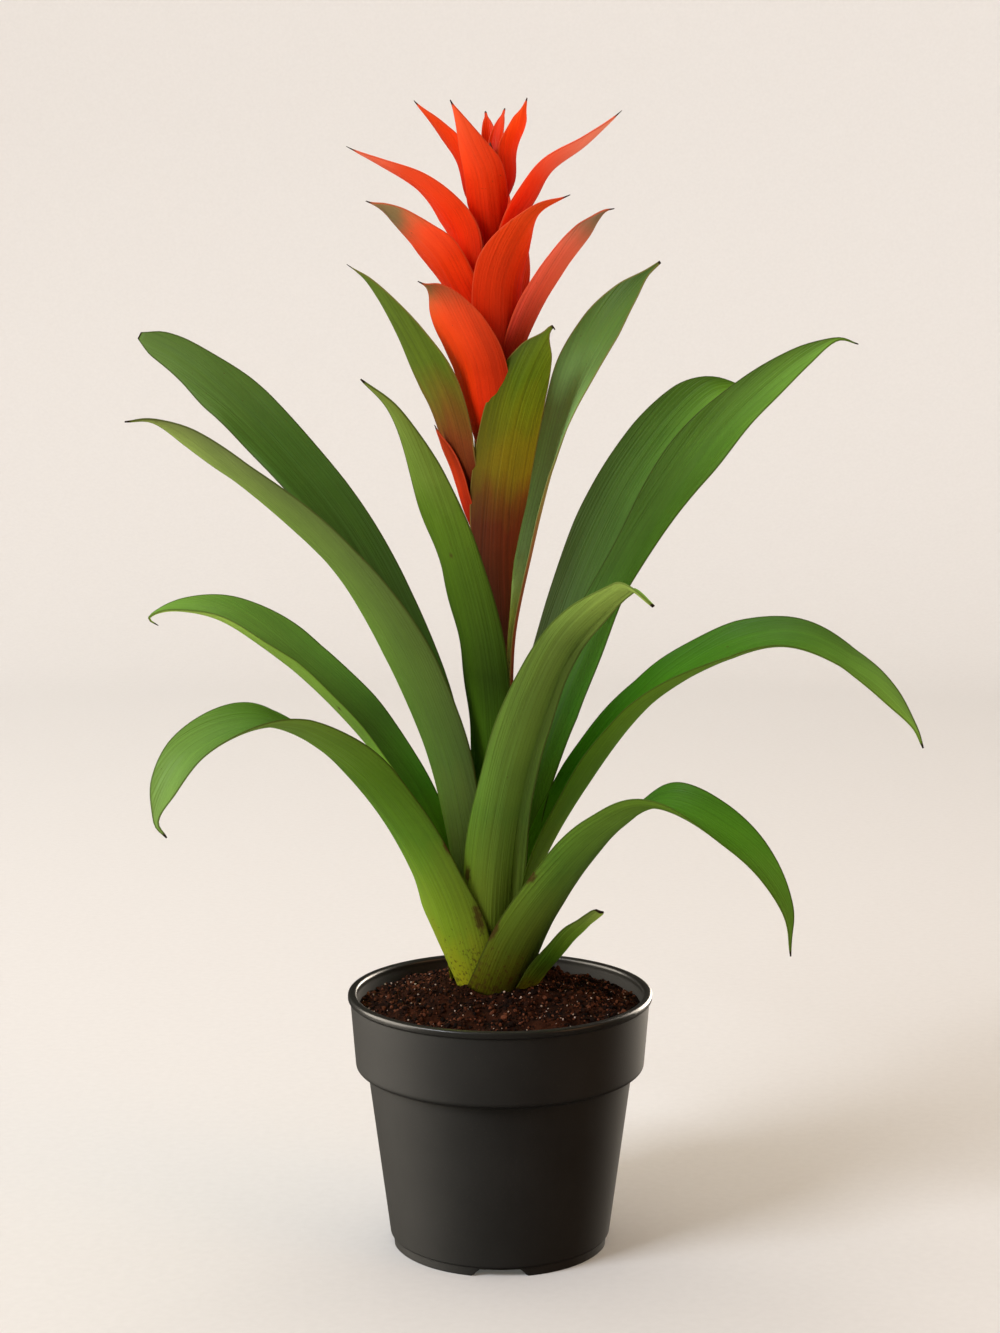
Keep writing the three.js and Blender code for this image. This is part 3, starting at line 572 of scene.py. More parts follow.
def blade_skin(name, upper, lower, margin, vein, roughness, glow, tip="#2a1c10", olive="#5d5a28",
               blush="#4a1a10", wax_and_sheen="#b8ba8c"):
    """Skin of a leaf or bract: colours from root to tip on both faces, veins, margin, flecks and dark tip.

    The blade's tone holds its blush at the root, the share of it that is olive at the end, its painted light
    and shade along the way, and a pale veil that is part wax bloom and part painted sheen.
    """
    made, tree, bsdf = new_skin(name)
    blade_mm = add_node(tree, "Attribute", attribute_name="blade_mm").outputs["Vector"]
    blade_share = add_node(tree, "Attribute", attribute_name="blade_share").outputs["Vector"]
    blade_tint_and_painted_light = add_node(tree, "Attribute", attribute_name="blade_tint_and_painted_light")
    spot = add_node(tree, "SeparateXYZ", {"Vector": blade_mm})
    share = add_node(tree, "SeparateXYZ", {"Vector": blade_share})
    tone = add_node(tree, "SeparateColor", {"Color": blade_tint_and_painted_light})

    # Real veins lie about 0.4 mm apart and are drawn wider apart to show. They lie in broader bands.
    fine = add_node(tree, "VectorMath", {0: blade_mm, 1: (1 / VEIN_SPACING, 1 / VEIN_LENGTH, 0)},
                    operation="MULTIPLY")
    vein_noise = add_node(tree, "TexNoise", {"Vector": fine, "Scale": 1.0, "Detail": 1.5, "Roughness": 0.7})
    veins = add_node(tree, "MapRange", {"Value": vein_noise, "From Min": 0.3, "From Max": 0.68})
    broad = add_node(tree, "VectorMath", {0: blade_mm, 1: (1 / BAND_WIDTH, 1 / BAND_LENGTH, 0)},
                     operation="MULTIPLY")
    bands = add_node(tree, "TexNoise", {"Vector": broad, "Scale": 1.0, "Detail": 1.0})
    # Stomata and scurf give the skin a grain, far finer in the real leaf than it is drawn.
    grain = add_node(tree, "TexNoise", {"Vector": blade_mm, "Scale": 1 / GRAIN_SIZE, "Detail": 2.0})
    patchy = add_node(tree, "VectorMath", {0: blade_mm, 1: (1 / 9, 1 / 24, 0)}, operation="MULTIPLY")
    clouds = add_node(tree, "TexNoise", {"Vector": patchy, "Scale": 1.0, "Detail": 3.0})

    wander = add_node(tree, "Math", {0: clouds, 1: 0.16, 2: -0.08}, operation="MULTIPLY_ADD")
    place = add_node(tree, "Math", {0: share.outputs["X"], 1: wander}, operation="ADD")
    above = add_node(tree, "ValToRGB", {"Fac": place}, upper)
    below = add_node(tree, "ValToRGB", {"Fac": place}, lower)
    face = add_node(tree, "MixRGB", {"Fac": share.outputs["Y"], "Color1": below, "Color2": above})

    past = add_node(tree, "Math", {0: place, 1: tone.outputs["Green"]}, operation="ADD")
    olive_share = add_node(tree, "MapRange", {"Value": past, "From Min": 1.0, "From Max": 1.22},
                           interpolation_type="SMOOTHSTEP")
    ended = add_node(tree, "MixRGB", {"Fac": olive_share, "Color1": face, "Color2": olive})
    near_root = add_node(tree, "MapRange", {"Value": place, "From Min": 0.55, "From Max": 0.05},
                         interpolation_type="SMOOTHSTEP")
    blush_share = add_node(tree, "Math", {0: near_root, 1: tone.outputs["Red"]}, operation="MULTIPLY")
    blushed = add_node(tree, "MixRGB", {"Fac": blush_share, "Color1": ended, "Color2": blush})

    vein_light = add_node(tree, "Math", {0: veins, 1: vein, 2: 1 - vein / 2}, operation="MULTIPLY_ADD")
    band_light = add_node(tree, "Math", {0: bands, 1: vein, 2: vein_light}, operation="MULTIPLY_ADD")
    cloud_light = add_node(tree, "Math", {0: clouds, 1: 0.24, 2: band_light},
                           operation="MULTIPLY_ADD")
    grain_light = add_node(tree, "Math", {0: grain, 1: vein * 0.7, 2: cloud_light},
                           operation="MULTIPLY_ADD")
    own_light = add_node(tree, "Math", {0: grain_light, 1: -0.12 - vein * 0.85}, operation="ADD")
    # The blade's painted light and shade scale its colour here.
    painted_light = add_node(tree, "Math", {0: own_light, 1: tone.outputs["Blue"]}, operation="MULTIPLY")
    veined = add_node(tree, "HueSaturation", {"Value": painted_light, "Color": blushed})
    # A pale veil goes over the colour, part wax bloom and part painted sheen.
    wax_and_sheen_veiled = add_node(tree, "MixRGB",
                     {"Fac": blade_tint_and_painted_light.outputs["Alpha"], "Color1": veined, "Color2": wax_and_sheen})

    # The margin is a thin line of its own colour, the root has brown flecks, and the tip is dry and dark.
    on_margin = add_node(tree, "MapRange",
                         {"Value": spot.outputs["Z"], "From Min": 0.6, "From Max": 0.15, "To Max": 0.6},
                         interpolation_type="SMOOTHSTEP")
    edged = add_node(tree, "MixRGB", {"Fac": on_margin, "Color1": wax_and_sheen_veiled, "Color2": margin})
    flecks = add_node(tree, "TexNoise", {"Vector": blade_mm, "Scale": 0.5, "Detail": 4.0})
    low = add_node(tree, "MapRange",
                   {"Value": share.outputs["X"], "From Min": 0.22, "From Max": 0.0, "To Max": 0.2},
                   interpolation_type="SMOOTHSTEP")
    fleck_share = add_node(tree, "Math", {0: flecks, 1: low}, operation="ADD")
    is_fleck = add_node(tree, "MapRange",
                        {"Value": fleck_share, "From Min": 0.70, "From Max": 0.80, "To Max": 0.7})
    flecked = add_node(tree, "MixRGB", {"Fac": is_fleck, "Color1": edged, "Color2": "#4b3512"})
    # Old scars and dried edges are brown and ragged.
    scar = add_node(tree, "Attribute", attribute_name="blade_scar").outputs["Fac"]
    ragged = add_node(tree, "Math", {0: flecks, 1: 0.9, 2: scar}, operation="MULTIPLY_ADD")
    is_scar = add_node(tree, "MapRange",
                       {"Value": ragged, "From Min": 0.8, "From Max": 1.2, "To Max": 0.85})
    scarred = add_node(tree, "MixRGB", {"Fac": is_scar, "Color1": flecked, "Color2": "#4a3614"})
    at_tip = add_node(tree, "MapRange",
                      {"Value": share.outputs["Z"], "From Min": TIP_DRY, "From Max": TIP_DARK},
                      interpolation_type="SMOOTHSTEP")
    coloured = add_node(tree, "MixRGB", {"Fac": at_tip, "Color1": scarred, "Color2": tip})

    # The underside is duller than the upper face.
    satin = add_node(tree, "MapRange",
                     {"Value": clouds, "To Min": roughness - 0.07, "To Max": roughness + 0.09})
    gloss = add_node(tree, "MapRange",
                     {"Value": share.outputs["Y"], "To Min": roughness + 0.2, "To Max": satin})
    relief = add_node(tree, "Bump", {"Height": veins, "Strength": 0.7, "Distance": 0.0003})
    set_inputs(tree, bsdf, {
        "Base Color": coloured, "Roughness": gloss, "Normal": relief, "IOR": 1.45,
        "Specular IOR Level": 0.13, "Subsurface Weight": glow, "Subsurface Radius": (1.0, 0.7, 0.25),
        "Subsurface Scale": 0.0012})
    return made


# Living leaf skin with a thin wax bloom: satin, deep green above and greyer green below, yellow-green at the
# root. The wax gives a broad soft sheen that follows the channel. Each blade adds painted light and shade,
# and its pale veil is part wax bloom and part painted sheen.
green_leaf = blade_skin(
    "waxy_green_leaf_skin",
    upper=[(0.0, "#727d05"), (0.16, "#558a05"), (0.35, "#367807"), (0.75, "#497e1b"), (1.0, "#5c8a25")],
    lower=[(0.0, "#8b8b0e"), (0.14, "#657e13"), (0.35, "#487011"), (0.75, "#58781c"), (1.0, "#7a913b")],
    margin="#39400e", vein=0.22, roughness=0.42, glow=0.0)

# turn is the root's angle round the stem from +X, path the midrib from root to tip, widths the width of the
# flattened blade at BLADE_STATIONS, roll turns the blade about its midrib from root to tip, cup is half the
# angle of its channel at the middle and the tip, and clasp is where the root's own channel has opened. fold
# is the side, share and angles of a margin that turns out of the channel. axis is the stem's x at the roots,
# crease the depth of the midrib's groove and ripple the height of the margins' waves. painted_light is the
# painted light and shade on the skin from root to tip, lean how much lighter one margin is
# painted at the root and the tip, and under how much light is painted on the underside.
# wax_and_painted_sheen is a pale veil, part wax bloom and part painted sheen; blush and olive tint the skin,
# and dry sets how long the dark tip is. marks are its scars: millimetres along, millimetres across, half
# length and half width.
# For the blades that the photograph shows, path, widths, roll and cup were fitted to outline points read off
# it, and painted_light, lean, under and wax_and_painted_sheen to its
# brightness, which paints its light, shade and sheen into the skin. For the blades that the photograph
# shows, other programs fitted path, widths, roll and cup to outline points read off it, and light, lean,
# under and bloom to its brightness. They are rounded, and some were then changed.
plain_form = {"fold": [1, 0.2, [0, 0]], "marks": [], "dry": 1, "roll": [0, 0], "painted_light": [1, 1],
              "lean": [0, 0], "under": 1, "wax_and_painted_sheen": [0, 0], "blush": 0, "olive": 0}
leaf_form = {**plain_form, "axis": PLANT_X, "clasp": 0.24, "cup": [40, 25], "crease": 0.4, "ripple": 0.5}
leaves = {
    "leaf_upper_left": {
        "turn": 150, "clasp": 0.36, "cup": [33, 14], "dry": 0.35, "fold": [-1, 0.14, [0, -25, -40, -40, 0]],
        "widths": [12, 18, 28, 30, 30, 30, 30, 20, 13, 3], "roll": [0, 0, 1, 9, 27, 35, 74],
        "painted_light": [0.5, 0.4, 0.35, 0.6, 0.7], "lean": [0.05, -0.1], "wax_and_painted_sheen": [0, 0.02, 0.04, 0.04, 0.1],
        "path": [(-10, 5, 114), (-16, 23, 162), (-34, 47, 234), (-66, 82, 295), (-113, 108, 349),
                 (-148, 123, 378), (-168, 129, 388)]},
    "leaf_left_front": {
        "turn": 208, "cup": [43, 22], "widths": [15, 24, 32, 39, 38, 30, 20, 11, 1.5, 0.5],
        "roll": [0, -1, -6, -11, -6, -15, -46], "painted_light": [0.6, 0.9, 1.4, 1.5, 1.3], "lean": [0.5, 0.5],
        "wax_and_painted_sheen": [0.03, 0.08, 0.1, 0.14, 0.2],
        "path": [(-14, -6, 112), (-17, -11, 161), (-29, -23, 223), (-60, -42, 289), (-103, -52, 332),
                 (-135, -58, 354), (-146, -62, 354)]},
    "leaf_left_hooked": {
        "turn": 160, "clasp": 0.34, "cup": [60, 46], "marks": [(132, -15.5, 2.2, 1)],
        "widths": [12, 18.5, 26.5, 32.5, 39.5, 40, 28, 12.5, 2, 0.5], "roll": [14, 7, 0, -3, -4, 5, 17],
        "painted_light": [1.45, 1.65, 0.7, 1.05, 1.35], "lean": [0.1, 0.1], "under": 2.4,
        "wax_and_painted_sheen": [0, 0.02, 0.06, 0.1, 0.08],
        "path": [(-18, 5, 112), (-28, 2, 168), (-48, 8, 206), (-83, 14, 244), (-120, 20, 269),
                 (-143, 24, 271), (-151, 26, 267), (-147, 26, 264)]},
    "leaf_low_left": {
        "turn": 215, "cup": [50, 30], "marks": [(36, -15.5, 8, 2.2), (71, -15, 4, 1.4)],
        "widths": [24, 36, 30, 31, 36, 33, 24, 14, 2, 0.5], "roll": [-5, -18, -15, -10, -1, 22, 49],
        "painted_light": [1.15, 1.2, 0.95, 1.05, 1.45], "lean": [0.5, 0], "under": 1.55,
        "wax_and_painted_sheen": [0.02, 0.04, 0, 0.08, 0.25],
        "path": [(-14, -10, 111), (-27.9, -25, 158.8), (-46, -40, 195), (-69, -60, 224), (-93, -76, 237),
                 (-120, -88, 227), (-132, -94, 202), (-128, -95, 196)]},
    "leaf_upright_left": {
        "turn": 250, "clasp": 0.42, "cup": [46, 18], "marks": [(199, 0.5, 1.8, 0.8), (204, -1, 1.2, 0.6)],
        "widths": [15, 16, 20, 24, 25, 22, 15, 6, 2, 0.5], "roll": [0, 12, 20, 16, 15, -2, -13],
        "painted_light": [1.15, 1.3, 0.45, 1.1, 1.4], "lean": [0.05, 0.1], "wax_and_painted_sheen": [0, 0, 0, 0, 0.06],
        "path": [(-7, -9, 114), (-6, -19, 196), (-10, -48, 266), (-26, -72, 326), (-40, -88, 359),
                 (-52, -98, 371)]},
    "leaf_front_curled": {
        "turn": 278, "cup": [46, 30], "dry": 0.45, "marks": [(54, 11.5, 5, 1.6)],
        "fold": [-1, 0.36, [0, -60, -80, -80, -30]], "widths": [18, 23, 28, 25, 24, 20, 16, 9.5, 7, 2.5],
        "roll": [0, 1, -8, -8, -12, 0, 2], "painted_light": [0.75, 1.15, 1.1, 1, 2.1], "lean": [0.4, 0],
        "wax_and_painted_sheen": [0.02, 0.06, 0.08, 0.08, 0.12],
        "path": [(-1, -14, 113), (-3, -19, 137), (-1, -33, 179), (9, -62, 231), (25, -92, 272),
                 (44, -116, 293), (48, -124, 295), (56, -128, 289)]},
    "leaf_right_arching": {
        "turn": 352, "clasp": 0.36, "cup": [53, 25], "widths": [15, 28, 42, 46, 40, 31, 22, 11, 2, 0.5],
        "roll": [0, -9, -6, -1, -10, -3, -40], "painted_light": [1.5, 1, 1.1, 0.9, 1.6], "lean": [-0.4, 0.5],
        "under": 1.35, "wax_and_painted_sheen": [0, 0, 0, 0.03, 0.15],
        "path": [(8, -4, 112), (13.5, -8, 156.4), (35, -16, 201), (68, -28, 244), (114, -44, 266),
                 (145, -54, 253), (164, -59, 234), (168, -60, 225)]},
    "leaf_low_right": {
        "turn": 285, "cup": [50, 31], "marks": [(62, 14, 4, 2.2), (31, 14, 7, 2)],
        "widths": [30, 28, 28, 31, 33, 29, 19, 8, 1.5, 0.5], "roll": [0, -5, -18, -29, -43, -50, -62],
        "painted_light": [0.25, 0.65, 1, 1.1, 1.05], "lean": [0.4, 0.15], "under": 1.15,
        "wax_and_painted_sheen": [0, 0.04, 0.05, 0, 0.02],
        "path": [(0, -17, 111), (9.3, -28, 136.7), (25, -40, 164), (46, -58, 192), (64, -72, 204),
                 (94, -82, 189), (111, -88, 166), (113, -90, 148)]},
    "leaf_cut_short": {
        "turn": 315, "cup": [37, 20], "dry": 0.3, "widths": [14, 15, 15, 14, 12, 11, 8, 7, 6, 4],
        "roll": [0, 3, 6, 10, 16, 19, 25], "painted_light": [0.8, 0.6, 1.15, 1.5, 1.25], "lean": [-0.3, -0.5],
        "wax_and_painted_sheen": [0, 0, 0, 0.02, 0.02],
        "path": [(12, -15, 115), (21.7, -23, 129.1), (29, -31, 141), (41, -40, 154)]},
    "leaf_upper_right": {
        "turn": 42, "clasp": 0.36, "cup": [43, 23], "fold": [1, 0.16, [0, -15, -20, -20, -10]],
        "widths": [14, 18, 27, 30, 26, 34, 24, 12, 1.5, 0.5], "roll": [0, 8, -7, 5, -3, -17, -36],
        "painted_light": [1, 0.85, 1.15, 1.35, 1.1], "lean": [0.35, 0.35], "wax_and_painted_sheen": [0, 0.04, 0.09, 0.07, 0.06],
        "path": [(7, 6, 113), (14, 6, 140), (15, 16, 189), (37, 34, 250), (68, 58, 305), (108, 82, 355),
                 (152, 96, 386), (163, 102, 384)]},
    "leaf_right_behind": {
        "turn": 55, "clasp": 0.36, "cup": [39, 19], "widths": [10, 14.5, 22, 27.5, 31, 35, 34.5, 29, 14, 2],
        "roll": [0, -1, -2, 0, -13, -16, -13], "painted_light": [0.4, 0.4, 0.45, 0.75, 1.05], "lean": [0.5, 0.5],
        "wax_and_painted_sheen": [0, 0.02, 0.1, 0.06, 0],
        "path": [(1, 7, 114), (1, 17, 142), (18, 37, 214), (38, 72, 274), (67, 104, 328), (99, 122, 362),
                 (114, 130, 364)]},
    "leaf_back_upright": {
        "turn": 95, "clasp": 0.36, "cup": [38, 22], "widths": [8, 9, 8, 8, 11, 14, 12, 6, 1.5, 0.5],
        "path": [(-3, 10.5, 113), (-5, 43, 184), (-6, 82, 251), (-5, 104, 313), (-6, 122, 358),
                 (-6, 131, 381)]},
    "leaf_back_low": {
        "turn": 92, "cup": [36, 20], "widths": [22, 26, 28, 26, 24, 20, 14, 6, 1.5, 0.5],
        "roll": [0, 0, 0, 0, 2, 3, 5],
        "path": [(-5, 14.5, 110.6), (-5, 34, 147), (-5, 66, 174), (-4, 99, 189), (-2, 129, 187)]},
}
for seed, (name, form) in enumerate(leaves.items(), 21):
    leaf = make_blade(name.replace("leaf_", "strap_leaf_"), {**leaf_form, **form}, LEAF_STATIONS,
                      LEAF_STRIPS, LEAF_THICKNESS, green_leaf, seed)
    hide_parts(name)

# Scape bracts: the flower stem's own leaves, living blades shorter and thinner than those of the rosette.
# Each clasps the stem at its root. Four are green or part green, and a small one low at the left is red.
BRACT_THICKNESS = 0.9
BRACT_STATIONS = 90
BRACT_STRIPS = 22
bract_form = {**plain_form, "axis": -1, "clasp": 0.3, "cup": [42, 20], "crease": 0.3, "ripple": 0.25}

# Green bract skin, waxed like the leaves and with the same painted light, shade and sheen, that blushes
# brown-red where it clasps the stem.
green_bract = blade_skin(
    "waxy_green_bract_skin",
    upper=[(0.0, "#4a3a14"), (0.1, "#605a20"), (0.17, "#7f9030"), (0.32, "#769a5c"), (0.6, "#6a9450"),
           (0.8, "#4c7824"), (1.0, "#4c701c")],
    lower=[(0.0, "#541605"), (0.2, "#6a220c"), (0.32, "#763a16"), (0.46, "#645016"), (0.6, "#526418"),
           (1.0, "#586f22")],
    margin="#8a7a3c", vein=0.34, roughness=0.42, glow=0.0)
# The front bract turns through olive and ochre to maroon, as its green fades before the red comes in.
two_tone_bract = blade_skin(
    "waxy_two_tone_bract_skin",
    upper=[(0.0, "#3c0e06"), (0.34, "#6e2406"), (0.55, "#7a6a06"), (0.75, "#4d6a12"), (1.0, "#4a6a18")],
    lower=[(0.0, "#300c04"), (0.2, "#4a1204"), (0.42, "#802c0c"), (0.5, "#8c5008"), (0.58, "#8c7806"),
           (0.7, "#6a6c08"), (0.84, "#526609"), (1.0, "#5c7018")],
    margin="#8f7a3a", vein=0.4, roughness=0.45, glow=0.0)
# Red bract skin: the same wax, painted sheen and painted light and shade over a clear vivid red, thin enough
# to glow, with a paler margin.
red_bract = blade_skin(
    "waxy_red_bract_skin",
    upper=[(0.0, "#820e00"), (0.35, "#c62200"), (0.7, "#ee3c08"), (1.0, "#f24c18")],
    lower=[(0.0, "#8a1000"), (0.35, "#cc2802"), (0.7, "#ee420a"), (1.0, "#f4561e")],
    margin="#d8502c", vein=0.16, roughness=0.42, glow=0.1, tip="#2a1610", olive="#6c5a32", blush="#4a0a06",
    wax_and_sheen="#f6cdb8")

# As on the leaves, each bract's lists paint light, shade and sheen into its skin.
scape_bracts = {
    "bract_green_left": (green_bract, "green_bract", {
        "turn": 190, "cup": [39, 20], "blush": 0.1,
        "widths": [12, 16.5, 23.5, 26, 27.5, 21, 12.5, 5, 0.7, 0.3],
        "roll": [0, -8, -24, -29, -25, -21, -23], "painted_light": [0.9, 1.25, 1.7, 1.5, 1.55], "lean": [0.1, 0.2],
        "wax_and_painted_sheen": [0, 0, 0, 0, 0.02],
        "path": [(-5.6, -0.3, 306), (-16, -2, 328), (-26, -6, 361), (-40, -11, 390), (-54, -14, 410),
                 (-62, -16, 416)]}),
    "bract_green_right": (green_bract, "green_bract", {
        "turn": 12, "cup": [41, 16], "dry": 0.4, "widths": [10, 12, 17.5, 22, 24, 26.5, 21, 12, 2.5, 1],
        "roll": [0, -3, -7, -5, -19, -37, -41], "painted_light": [1.9, 2.5, 2.9, 1.15, 0.6], "lean": [-0.35, 0.15],
        "wax_and_painted_sheen": [0, 0.1, 0.26, 0.12, 0],
        "path": [(4.7, 1.4, 232), (6, 2.5, 263), (12, 3, 296), (20, 1, 330), (31, -4, 368), (45, -9, 395),
                 (58, -12, 411), (65, -14, 417)]}),
    "bract_front_two_tone": (two_tone_bract, "two_tone_bract", {
        "turn": 270, "clasp": 0.5, "cup": [44, 25], "widths": [9, 10, 14.5, 21.5, 26, 25.5, 22, 14, 2, 0.8],
        "roll": [0, -1, -8, 1, 4, 4, 8], "painted_light": [0.85, 0.75, 0.65, 1.25, 1.1], "lean": [-0.35, -0.5],
        "wax_and_painted_sheen": [0.02, 0.03, 0.03, 0, 0],
        "path": [(-1.6, -5.2, 242), (-1.4, -6.6, 270), (-2, -10, 298), (1, -14, 334), (9, -18, 368),
                 (21, -20.5, 391), (22, -22, 390)]}),
    "bract_red_low": (red_bract, "red_bract", {
        "turn": 200, "clasp": 0.5, "cup": [42, 18], "widths": [7, 8, 9.5, 11.5, 12, 10, 6.5, 2.5, 0.7, 0.3],
        "roll": [0, -8, -1, -1, -6, -14, -14], "painted_light": [0.7, 0.75, 0.95, 0.6, 0.6], "lean": [0.05, 0.5],
        "path": [(-5.6, -1.6, 296), (-14, -4, 315), (-20, -5, 335), (-27, -6, 351)]}),
    "bract_green_back": (green_bract, "green_bract", {
        "turn": 105, "widths": [9, 11.5, 15.5, 16, 16, 13, 8.5, 3.5, 0.7, 0.3],
        "path": [(-3, 5.3, 290), (-4, 13, 325), (-4, 24, 362), (-5, 38, 395)]}),
}
for seed, (name, (skin, slot, form)) in enumerate(scape_bracts.items(), 51):
    bract = make_blade(name.replace("bract_", "scape_bract_"), {**bract_form, **form}, BRACT_STATIONS,
                       BRACT_STRIPS, BRACT_THICKNESS, skin, seed)
    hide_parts(name)

# Flower head: living red bracts with fine dark hair tips. They grow in a close spiral from the end of the
# stem and hide the spindle that it ends in.
HEAD_TOP_Z = 466
HEAD_TOP_X = -4
head_form = {**plain_form, "axis": -2, "clasp": 0.4, "cup": [45, 22], "crease": 0.25, "ripple": 0.25}
# As on the leaves, each bract's lists paint light, shade and sheen into its skin.
head_bracts = {
    "low_left": {
        "turn": 235, "cup": [42, 22], "olive": 0.24,
        "widths": [24, 25.5, 26, 27.5, 27.5, 24.5, 17.5, 8, 0.7, 0.3],
        "roll": [0, -1, -2, -3, -6, -14, -20], "painted_light": [1.3, 1.45, 1.15, 1.25, 1.25], "lean": [0.5, 0.3],
        "wax_and_painted_sheen": [0, 0, 0, 0.02, 0.04],
        "path": [(-3, -3, 330), (-8, -11, 359), (-11, -15, 376), (-20, -20, 395), (-26, -23, 405),
                 (-33, -25, 409)]},
    "front_large": {
        "turn": 290, "cup": [49, 26], "dry": 1.4,
        "widths": [11, 13.5, 18.5, 23.5, 23.5, 17, 8, 3.5, 0.7, 0.3], "roll": [0, -1, 1, 0, -4, -20, -17],
        "painted_light": [0.7, 0.75, 1.05, 1.1, 1.1], "lean": [0.05, -0.2],
        "path": [(0, -3, 362), (0, -11, 392), (1, -15, 411), (7, -20, 426), (15, -24, 437), (28, -27, 443)]},
    "right_low": {
        "turn": 330, "cup": [47, 21], "olive": 0.3,
        "widths": [11, 12.5, 15.5, 16.5, 15.5, 13, 9.5, 3.5, 0.7, 0.3], "roll": [0, 10, 11, 13, 17, 27, 30],
        "painted_light": [0.85, 0.9, 1.45, 1.2, 1.1], "lean": [-0.25, -0.05], "wax_and_painted_sheen": [0, 0.02, 0.12, 0.22, 0.15],
        "path": [(2, -2, 365), (13, -9, 396), (20, -13, 409), (31, -16, 425), (42, -18, 437),
                 (46, -19, 438)]},
    "left_middle": {
        "turn": 205, "cup": [44, 21], "olive": 0.36,
        "widths": [11, 13, 17.5, 21, 21, 15.5, 10, 4, 0.7, 0.3], "roll": [0, -10, -20, -28, -28, -34, -36],
        "painted_light": [1.25, 1.3, 1.4, 1.55, 1.95], "lean": [0.1, -0.1], "wax_and_painted_sheen": [0, 0, 0, 0.06, 0.1],
        "path": [(-4, -3, 380), (-18, -8, 406), (-26, -12, 420), (-37, -16, 431), (-46, -18, 438),
                 (-54, -19, 441)]},
    "left_high": {
        "turn": 185, "cup": [46, 22], "dry": 1.7, "widths": [11, 14, 19.5, 25, 21, 15.5, 9, 3.5, 0.7, 0.3],
        "roll": [0, -16, -22, -31, -23, -19, -19], "painted_light": [1.3, 1.35, 1.3, 1.35, 1.2],
        "lean": [0.05, 0.05], "wax_and_painted_sheen": [0, 0, 0, 0.04, 0.3],
        "path": [(-4, 0, 388), (-15, -4, 412), (-19, -7, 430), (-31, -10, 446), (-48, -12, 456),
                 (-62, -13, 463)]},
    # The pale pink veil on this bract's outer half is mostly painted sheen.
    "right_high": {
        "turn": 350, "cup": [43, 22], "dry": 1.6, "widths": [11, 12.5, 15, 17, 15, 11.5, 7, 3, 0.7, 0.3],
        "roll": [0, 12, 23, 18, 20, 18, 13], "painted_light": [1.25, 1.3, 1.5, 1.45, 1.3], "lean": [0.4, 0.2],
        "wax_and_painted_sheen": [0, 0, 0.02, 0.35, 0.5],
        "path": [(-1, -1, 412), (6, -5, 431), (13, -9, 443), (20, -12, 454), (34, -14, 464),
                 (49, -15, 477)]},
    "front_high": {
        "turn": 265, "cup": [50, 25], "widths": [11, 10.5, 13.5, 19, 18, 12.5, 7, 3, 0.7, 0.3],
        "roll": [0, 9, -5, 0, 1, 3, 3], "painted_light": [1.25, 1.2, 1.15, 1.25, 1.2], "lean": [0.1, 0.05],
        "wax_and_painted_sheen": [0, 0, 0, 0.03, 0.05],
        "path": [(-3, -2, 415), (-5, -10, 440), (-7, -13, 453), (-11, -15, 462), (-16, -17, 473),
                 (-20, -17, 481)]},
    "top_left": {
        "turn": 180, "widths": [11, 11.5, 12.5, 13.5, 14, 10, 6, 2.5, 0.7, 0.3],
        "roll": [0, -6, -10, -22, -27, -25, -25], "painted_light": [1.05, 1.1, 1.1, 0.95, 1], "lean": [-0.15, -0.2],
        "path": [(-5, 1, 435), (-13, -1, 443), (-17, -2, 459), (-25, -3, 471), (-35, -4, 482)]},
    "top_right": {
        "turn": 350, "cup": [50, 24], "dry": 0.6,
        "widths": [11, 11.5, 13, 14, 14.5, 11, 7.5, 2.5, 0.7, 0.3], "roll": [0, 7, 13, 20, 29, 41, 41],
        "painted_light": [1, 1.1, 1.1, 1.55, 1.35], "lean": [-0.15, -0.05],
        "path": [(-2, 0, 435), (5, -2, 450), (5, -3, 463), (8, -4, 472), (11, -5, 483)]},
    "centre_right": {
        "turn": 60, "cup": [50, 26], "dry": 0.4, "widths": [5, 5.5, 6.5, 7, 6.5, 5, 3, 1, 0.7, 0.3],
        "path": [(-3, 1, 452), (-1, 4, 468), (2, 7, 480)]},
    "centre_left": {
        "turn": 100, "cup": [50, 26], "dry": 0.4, "widths": [6, 6, 6.5, 7, 6.5, 5, 3, 1, 0.7, 0.3],
        "path": [(-4, 1, 455), (-5, 6, 471), (-6, 9, 479)]},
    "back_low": {
        "turn": 90, "widths": [11, 13, 17, 20, 19, 14.5, 9, 3.5, 0.7, 0.3],
        "path": [(-1, 2, 345), (0, 11, 370), (0, 20, 392), (-1, 34, 412)]},
    "back_right": {
        "turn": 55, "widths": [11, 12.5, 15, 17, 16, 12.5, 7.5, 3, 0.7, 0.3],
        "path": [(0, 1, 365), (4, 8, 389), (8, 17, 410), (12, 29, 428)]},
    "back_left": {
        "turn": 125, "widths": [11, 12.5, 16, 18, 17, 13, 8, 3, 0.7, 0.3],
        "path": [(-2, 2, 375), (-7, 9, 400), (-12, 16, 422), (-17, 26, 440)]},
    "back_high": {
        "turn": 80, "widths": [11, 12, 13.5, 15, 14, 11, 6.5, 2.5, 0.7, 0.3],
        "path": [(-2, 2, 396), (-1, 8, 417), (0, 17, 438), (2, 28, 455)]},
    "back_top": {
        "turn": 100, "widths": [11, 11.5, 12.5, 13, 12.5, 9.5, 5.5, 2, 0.7, 0.3],
        "path": [(-3, 2, 420), (-4, 8, 440), (-5, 14, 456), (-6, 21, 469)]},
}
for seed, (name, form) in enumerate(head_bracts.items(), 71):
    bract = make_blade(f"head_bract_{name}", {**head_form, **form}, BRACT_STATIONS, BRACT_STRIPS,
                       BRACT_THICKNESS, red_bract, seed)
    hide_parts("flower_head")
